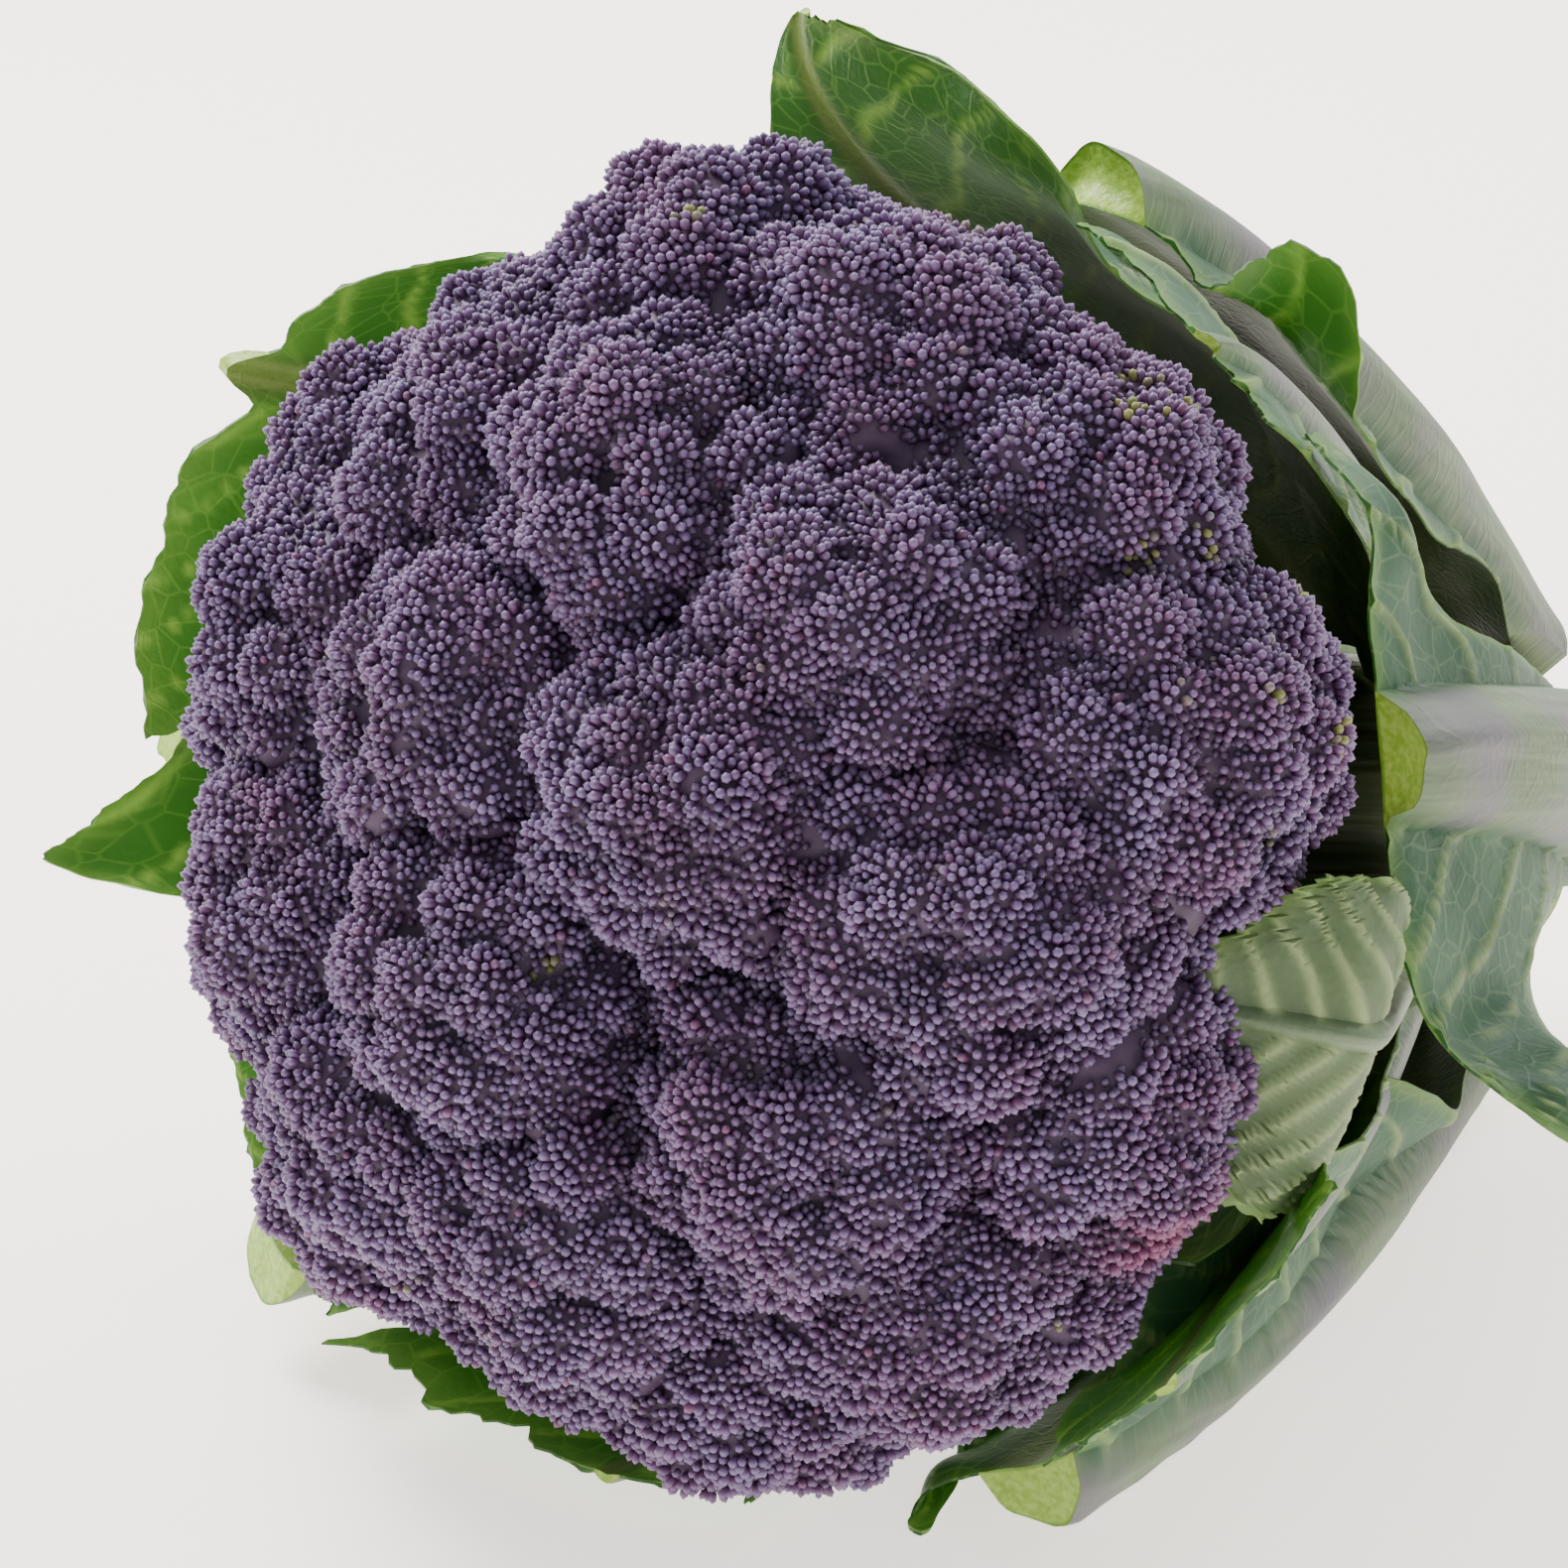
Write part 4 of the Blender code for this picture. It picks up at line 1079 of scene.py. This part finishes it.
LEAF_LOOKS = {
    "outer_leaf_upper": {
        "greater": ((0, 1), (0.5, 1.0), (0.8, 0.75), (1, 0.55)),
        "lesser": ((0, 1), (0.66, 1.0), (0.78, 0.90), (1, 0.76)),
        "reach": ((-1, 0.79), (-0.75, 0.83), (-0.42, 0.88), (-0.28, 0.95), (0, 1), (1, 0.95)),
        "stretch": (1.05, 1.0),
        "folds": (
            (-1, 0.12, 0.26, -22, 0.30, 0.76), (-1, 0.12, 0.26, -46, 0.76, 1.6),
            (-1, 0.35, 0.12, 138, 0.76, 1.6),
        ),
        "jag": 0.02, "tone": 0.75, "waves": (1.0 * MM, 2.0), "hollow": 2.5 * MM,
    },
    "outer_leaf_right": {
        "greater": ((0, 0.5), (0.72, 0.42), (0.84, 0.62), (0.92, 1.0), (1, 1.0)),
        "lesser": ((0, 0.5), (0.68, 0.45), (0.80, 0.85), (0.88, 1.0), (1, 1.0)),
        "reach": ((-1, 0.86), (-0.6, 0.95), (0, 1), (0.6, 1.0), (1, 0.97)), "stretch": (1.5, 1.0),
        "flare": -5.0 * MM,
        "folds": ((-1, 0.42, 0.25, 70, 0.62, 1.6), (1, 0.5, 0.3, -30, 0.6, 1.6)), "jag": 0.02,
        "waves": (1.4 * MM, 3.0), "tone": 0.5, "hollow": 1.0 * MM, "deep": 0.8,
    },
    "outer_leaf_lower_right": {
        "folds": (
            (1, 0.12, 0.3, -48, 0.3, 1.6), (1, 0.70, 0.2, 80, 0.55, 1.6), (-1, 0.55, 0.3, 80, 0.7, 1.6),
        ),
        "jag": 0.02, "waves": (2.0 * MM, 2.5), "tone": 0.3,
    },
    "outer_leaf_lower_left": {"waves": (2.2 * MM, 2.5), "tone": 0.6, "jag": 0.03},
    "outer_leaf_left": {
        "waves": (1.6 * MM, 2.0), "tone": 0.5, "jag": 0.02,
        "lesser": ((0, 1), (0.7, 0.7), (1, 0.3)), "reach": ((-1, 0.7), (0, 0.84), (0.6, 0.97), (1, 1)),
        "swing": 5.0, "hoary": 0.4,
    },
    "inner_leaf_left": {
        "waves": (1.4 * MM, 1.6), "tone": 0.7, "pitch": 14.0 * MM, "jag": 0.02,
        "reach": (
            (-1, 1), (-0.25, 0.99), (-0.1, 0.95), (-0.03, 1), (0.03, 1), (0.1, 0.93), (0.3, 0.98), (1, 1),
        ),
    },
    "inner_leaf_top": {
        "waves": (1.6 * MM, 2.0), "tone": 0.5, "jag": 0.03, "petiole": SLIM_RIB,
        "greater": ((0, 1), (0.6, 0.8), (0.8, 0.3), (1, 0.02)),
        "lesser": ((0, 1), (0.8, 1), (0.92, 0.75), (1, 0.1)), "swing": -8.5, "flare": 3.0 * MM,
    },
    "inner_leaf_under": {
        "waves": (2.0 * MM, 3.0), "tone": 0.6, "jag": 0.04, "petiole": SLIM_RIB, "lengthen": 24.0 * MM,
    },
    "inner_leaf_lower_right": {
        "waves": (1.5 * MM, 2.0), "tone": 0.8, "petiole": SLIM_RIB, "stretch": (1.4, 2.3),
    },
    "inner_leaf_frilled": {
        "waves": (1.3 * MM, 6.0), "buckle": 1.6 * MM, "jag": 0.015, "tone": 0.2, "relief": 1.1,
        "reach": ((-1, 0.79), (-0.5, 0.92), (0, 1), (0.5, 0.93), (1, 0.81)), "pitch": 8.0 * MM,
        "bend": ((0.68, 0.78, -72, -1.5, 1.5),), "petiole": THREAD_RIB, "slant": 0.9, "hoary": 1.0,
        "flare": 4.0 * MM, "crowding": 0.6, "scallop": (0.014, 14.0), "vein_width": 0.35 * MM,
        "lengthen": 7.0 * MM, "stretch": (1.25, 1.15),
    },
    "inner_leaf_upper_right": {
        "waves": (1.2 * MM, 2.0), "tone": 0.25, "petiole": SLIM_RIB, "flare": -5.0 * MM,
        "lesser": ((0, 1), (0.7, 0.8), (1, 0.45)), "reach": ((-1, 0.9), (0, 0.95), (1, 1)),
        "scallop": (0.02, 4.0),
    },
}


def leaf_material():
    """A brassica leaf: green inside, a waxy blue bloom outside, with pale veins and a pale rib."""
    made, tree = new_material("brassica_leaf")
    flat = add(tree, "ShaderNodeUVMap", uv_map="length").outputs[0]
    tone = attribute(tree, "tone")
    hoary = attribute(tree, "hoary")
    vein = attribute(tree, "vein")
    outside = attribute(tree, "outer")
    deep = attribute(tree, "deep")
    on_rib = attribute(tree, "rib")
    # The finest veins close cells about 5 mm across
    cells = add(tree, "ShaderNodeTexVoronoi", {"Scale": 0.2}, {"Vector": flat}, feature="DISTANCE_TO_EDGE")
    mesh_vein = ranged(tree, cells.outputs["Distance"], 0.0, 0.07, 0.38, 0.0)
    plain = ranged(tree, hoary, 0.0, 1.0, 1.0, 0.15)
    mesh_vein = computed(tree, "MULTIPLY", mesh_vein, plain)
    # Lighter and darker patches about 20 mm across
    mottle = ranged(tree, noise(tree, 0.05, 3.0, flat), 0.3, 0.7)
    dark = mixed(tree, mottle, "24501F", "2E6027")
    light = mixed(tree, mottle, "44802F", "4F8F38")
    green = mixed(tree, tone, dark, light)
    inner = mixed(tree, vein, mixed(tree, mesh_vein, green, "8FBE55"), "A9CF62")
    downy = mixed(tree, mottle, "5A6F4E", "70845F")
    bloom = mixed(tree, hoary, mixed(tree, mottle, "3A6048", "4F7659"), downy)
    outer_vein = mixed(tree, hoary, "9AB078", "A9BB88")
    outer = mixed(tree, vein, mixed(tree, mesh_vein, bloom, "7C9A70"), outer_vein)
    colour = mixed(tree, outside, inner, outer)
    colour = mixed(tree, ranged(tree, attribute(tree, "edge"), 0.3, 1.0, 0.0, 0.4), colour, "9CC25E")
    # The rib's streaks are about 2 mm wide and run along it, with lilac patches about 30 mm long
    long_marks = add(tree, "ShaderNodeMapping", {"Scale": (1.0, 0.06, 1.0)}, {"Vector": flat})
    streak = ranged(tree, noise(tree, 0.5, 4.0, long_marks.outputs[0]), 0.3, 0.7)
    lilac = ranged(tree, noise(tree, 0.03, 2.0, flat), 0.40, 0.65, 0.0, 0.75)
    lilac = computed(tree, "MULTIPLY", lilac, plain)
    outer_rib = mixed(tree, lilac, mixed(tree, streak, "54694A", "758667"), "726478")
    rib = mixed(tree, outside, mixed(tree, streak, "7C9A40", "9DB35F"), outer_rib)
    colour = mixed(tree, on_rib, colour, rib)
    # The parts that lie deep between the leaves and the crown see no light and are darker
    colour = mixed(tree, ranged(tree, deep, 0.0, 1.0, 0.0, 0.9), colour, "151C0E")
    height = computed(tree, "MULTIPLY_ADD", mesh_vein, 0.6, noise(tree, 0.8, 3.0, flat))
    # Leaf wax has an index of about 1.42; the outer face's bloom is a little more matt
    solid = add(tree, "ShaderNodeBsdfPrincipled", {"IOR": 1.42}, {
        "Base Color": colour, "Roughness": ranged(tree, outside, 0.0, 1.0, 0.42, 0.52),
        "Specular IOR Level": ranged(tree, deep, 0.0, 1.0, 0.5, 0.05),
        "Normal": bumped(tree, height, 0.5, 0.4 * MM),
    })
    lit = add(tree, "ShaderNodeBsdfTranslucent", links={"Color": mixed(tree, 0.45, colour, "8FD02E")})
    through = ranged(tree, on_rib, 0.0, 1.0, 0.34, 0.05)
    through = computed(tree, "MULTIPLY", through, ranged(tree, deep, 0.0, 1.0, 1.0, 0.2))
    both = add(tree, "ShaderNodeMixShader", links={0: through, 1: solid.outputs[0], 2: lit.outputs[0]})
    add(tree, "ShaderNodeOutputMaterial", links={"Surface": both.outputs[0]})
    return made


def cut_material():
    """Freshly cut stalk flesh: moist, pale yellow green and fibrous."""
    made, tree = new_material("cut_stalk_flesh")
    fibre = ranged(tree, noise(tree, 900.0, 3.0), 0.35, 0.65)
    broad = ranged(tree, noise(tree, 220.0, 2.0), 0.3, 0.7)
    colour = mixed(tree, fibre, mixed(tree, broad, "82A632", "8FB13E"), "A2C055")
    colour = mixed(tree, ranged(tree, attribute(tree, "rim"), 0.45, 0.95), colour, "5F8A20")
    # Wet plant tissue has an index of about 1.37; fibre ends are about 1.4 mm apart
    bump = bumped(tree, noise(tree, 700.0, 4.0), 0.6, 0.5 * MM)
    surfaced(tree, {"Roughness": 0.35, "IOR": 1.37}, {"Base Color": colour, "Normal": bump})
    return made


def make_leaves():
    """All the leaves, in their places around the crown."""
    materials = (leaf_material(), cut_material())
    for number, (name, petiole, stations) in enumerate(LEAVES):
        look = LEAF_LOOKS[name]
        mesh = leaf_mesh(name + "_blade", look.get("petiole", petiole), stations, look, 40 + number)
        placed(name + "_blade", mesh, materials, name)


# ---------------------------------------------------------------- stem
STEM_ROWS = 90
STEM_SIDES = 96
STEM_RIDGE = 0.35 * MM
SCAR_SIZE = (13.0 * MM, 5.0 * MM)
# Where leaves were taken off: along the axis in mm, and azimuth in degrees
LEAF_SCARS = ((-150, 40), (-128, 175), (-112, 300), (-165, 255), (-138, 110), (-168, 340))


def stem_material():
    """The stalk's skin: pale waxy green with long streaks and darker scars, and painted shade that darkens it
    from near its cut end towards the crown.
    """
    made, tree = new_material("brassica_stalk_skin")
    flat = add(tree, "ShaderNodeUVMap", uv_map="length").outputs[0]
    # Streaks about 3 mm wide that run along the stalk
    long_marks = add(tree, "ShaderNodeMapping", {"Scale": (1.0, 0.05, 1.0)}, {"Vector": flat})
    streak = ranged(tree, noise(tree, 0.35, 5.0, long_marks.outputs[0]), 0.3, 0.7)
    deep = attribute(tree, "deep")
    colour = mixed(tree, attribute(tree, "scar"), mixed(tree, streak, "6F8248", "8A9B62"), "5C673A")
    # Painted shade: the stalk lies hidden under the crown and leaves, so its colour is mixed towards near
    # black and its specular dimmed, most towards the crown
    colour = mixed(tree, deep, colour, "12180B")
    # Plant wax has an index of about 1.42
    surfaced(tree, {"Roughness": 0.45, "IOR": 1.42}, {
        "Base Color": colour, "Specular IOR Level": ranged(tree, deep, 0.0, 1.0, 0.5, 0.02),
        "Normal": bumped(tree, streak, 0.4, 0.8 * MM),
    })
    return made


def butt_material():
    """The cut end of the stalk: pale pith inside a fibrous ring and a green rind."""
    made, tree = new_material("cut_stalk_pith")
    flat = add(tree, "ShaderNodeUVMap", uv_map="length").outputs[0]
    radius = add(tree, "ShaderNodeVectorMath", links={0: flat}, operation="LENGTH").outputs["Value"]
    grain = ranged(tree, noise(tree, 0.9, 4.0, flat), 0.35, 0.65)
    pith = mixed(tree, grain, "B9BF84", "CBCF9C")
    ring = mixed(tree, grain, "8FA25A", "A9B877")
    # The ring starts about 21 mm from the middle, and the rind is the last 2 mm
    colour = mixed(tree, ranged(tree, radius, 20.5, 22.5), pith, ring)
    colour = mixed(tree, ranged(tree, radius, 26.0, 27.5), colour, "6E8444")
    bump = bumped(tree, grain, 0.5, 0.5 * MM)
    surfaced(tree, {"Roughness": 0.5}, {"Base Color": colour, "Normal": bump})
    return made


def scarred(angle, level, size):
    """How near each point is to a leaf scar's rim, and the stalk's radius with the scars sunk in."""
    scar = np.zeros_like(size)
    for place, azimuth in LEAF_SCARS:
        turn = (angle - math.radians(azimuth) + math.pi) % (2.0 * math.pi) - math.pi
        gap = np.hypot(turn * STEM_RADIUS / SCAR_SIZE[0], (level - place * MM) / SCAR_SIZE[1])
        scar = np.maximum(scar, np.exp(-((gap - 1.0) / 0.28) ** 2) * (gap < 1.8))
        size = size - 0.8 * MM * np.clip(1.0 - gap, 0.0, 1.0)
    return scar, size


def make_stem():
    """The main stem: a stalk with shallow ridges and leaf scars, swelling into the receptacle."""
    rows = np.linspace(0.0, 1.0, STEM_ROWS)
    turns = np.linspace(0.0, 2.0 * math.pi, STEM_SIDES, endpoint=False)
    along = -STEM_LENGTH + rows * (STEM_LENGTH - RECEPTACLE_DEPTH + RECEPTACLE_RADIUS * 0.98)
    beyond = np.clip((along + RECEPTACLE_DEPTH) / RECEPTACLE_RADIUS, 0.0, 1.0)
    swell = STEM_RADIUS + (RECEPTACLE_RADIUS - STEM_RADIUS) * ramped((along + 90.0 * MM) / (25.0 * MM))
    radius = swell * np.sqrt(1.0 - beyond**2)
    angle, level = np.meshgrid(turns, along)
    scar, size = scarred(angle, level, np.broadcast_to(radius[:, None], angle.shape))
    ridges = STEM_RIDGE + STEM_RIDGE * np.sin(9.0 * angle + 0.6 * np.sin(level / (20.0 * MM)))
    size = size - ridges * (beyond < 0.01)[:, None]
    points = np.stack([size * np.cos(angle), size * np.sin(angle), level], axis=-1).reshape(-1, 3)
    index = np.arange(len(points)).reshape(STEM_ROWS, STEM_SIDES)
    after = np.roll(index, -1, axis=1)
    faces = np.stack([index[:-1], after[:-1], after[1:], index[1:]], axis=-1).reshape(-1, 4).tolist()
    faces.append(index[0, ::-1].tolist())
    faces.append(index[-1].tolist())
    mesh = bpy.data.meshes.new("stalk")
    mesh.from_pydata(to_world(points).tolist(), [], faces)
    set_values(mesh, "scar", scar)
    # Painted shade: how dark the stalk is painted, from none by its cut end to the most about 65 mm from it
    # towards the crown
    set_values(mesh, "deep", 0.93 * ramped((level + 175.0 * MM) / (60.0 * MM)))
    corners = np.empty(len(mesh.loops), dtype=np.int32)
    mesh.loops.foreach_get("vertex_index", corners)
    flat = np.stack([angle.ravel() * STEM_RADIUS, level.ravel()], axis=1)[corners] / MM
    butt = slice(len(corners) - 2 * STEM_SIDES, len(corners) - STEM_SIDES)
    flat[butt] = points[corners[butt], :2] / MM
    mesh.uv_layers.new(name="length").data.foreach_set("uv", np.float32(flat).ravel())
    smooth = np.ones(len(faces), dtype=bool)
    smooth[-2:] = False
    mesh.polygons.foreach_set("use_smooth", smooth)
    cut = np.zeros(len(faces), dtype=np.int32)
    cut[-2] = 1
    mesh.polygons.foreach_set("material_index", cut)
    mesh.set_sharp_from_angle(angle=math.radians(50.0))
    mesh.update()
    placed("stalk", mesh, (stem_material(), butt_material()), "main_stem")


# ---------------------------------------------------------------- stage, light and camera
VIEW_AZIMUTH = math.radians(42.0)
VIEW_ELEVATION = math.radians(25.0)
VIEW_DISTANCE = 0.90
VIEW_LENS = 139.5
VIEW_SENSOR = 36.0
# The camera aims this far above and to the right of the head's origin
AIM_UP = 4.6 * MM
AIM_RIGHT = 3.0 * MM
FLOOR_SIZE = 14.0
SKY_STRENGTH = 0.74
FLOOR_GLOW = 1.5
# Every lamp: its name, place, size, power in watts and colour
LAMPS = (
    ("key", (-0.76, 0.02, 1.12), 0.7, 38.0, (1.0, 0.98, 0.95)),
    ("back", (0.1, 1.1, 0.95), 0.8, 15.0, (1.0, 1.0, 1.0)),
)


def make_stage():
    """A plain pale floor and soft studio light."""
    bpy.ops.mesh.primitive_plane_add(size=FLOOR_SIZE)
    floor = bpy.context.object
    floor.name = "floor"
    made, tree = new_material("pale_studio_floor")
    # A back-lit studio table: it glows softly from below as well as taking the light from above
    surfaced(tree, {
        "Base Color": srgb("F9F5EC"), "Roughness": 0.8,
        "Emission Color": srgb("FFFAF0"), "Emission Strength": FLOOR_GLOW,
    }, {})
    floor.data.materials.append(made)
    world = bpy.data.worlds.new("studio")
    world.use_nodes = True
    sky = world.node_tree.nodes["Background"]
    sky.inputs["Color"].default_value = (1.0, 1.0, 1.0, 1.0)
    sky.inputs["Strength"].default_value = SKY_STRENGTH
    bpy.context.scene.world = world
    middle = HEAD.translation
    for name, place, size, power, colour in LAMPS:
        lamp = bpy.data.lights.new(name, "AREA")
        lamp.size = size
        lamp.energy = power
        lamp.color = colour
        holder = linked(name, lamp)
        holder.location = Vector(place)
        holder.rotation_euler = (middle - Vector(place)).to_track_quat("-Z", "Y").to_euler()


def make_camera():
    """The camera, looking at the crown from its front right and a little above."""
    back = Vector((
        math.cos(VIEW_ELEVATION) * math.sin(VIEW_AZIMUTH),
        -math.cos(VIEW_ELEVATION) * math.cos(VIEW_AZIMUTH),
        math.sin(VIEW_ELEVATION),
    ))
    turn = back.to_track_quat("Z", "Y")
    up = turn @ Vector((0.0, 1.0, 0.0))
    right = turn @ Vector((1.0, 0.0, 0.0))
    aim = HEAD.translation + up * AIM_UP + right * AIM_RIGHT
    lens = bpy.data.cameras.new("camera")
    lens.lens = VIEW_LENS
    lens.sensor_width = VIEW_SENSOR
    lens.clip_start = 0.05
    lens.clip_end = 30.0
    camera = linked("camera", lens)
    camera.location = aim + back * VIEW_DISTANCE
    camera.rotation_euler = turn.to_euler()
    bpy.context.scene.camera = camera


def main():
    """Make every piece, then the stage."""
    tree = bud_tree()
    materials = (bud_material(), tissue_material())
    for floret in FLORETS:
        make_floret(floret, tree, materials)
    make_stem()
    make_leaves()
    make_stage()
    make_camera()


main()
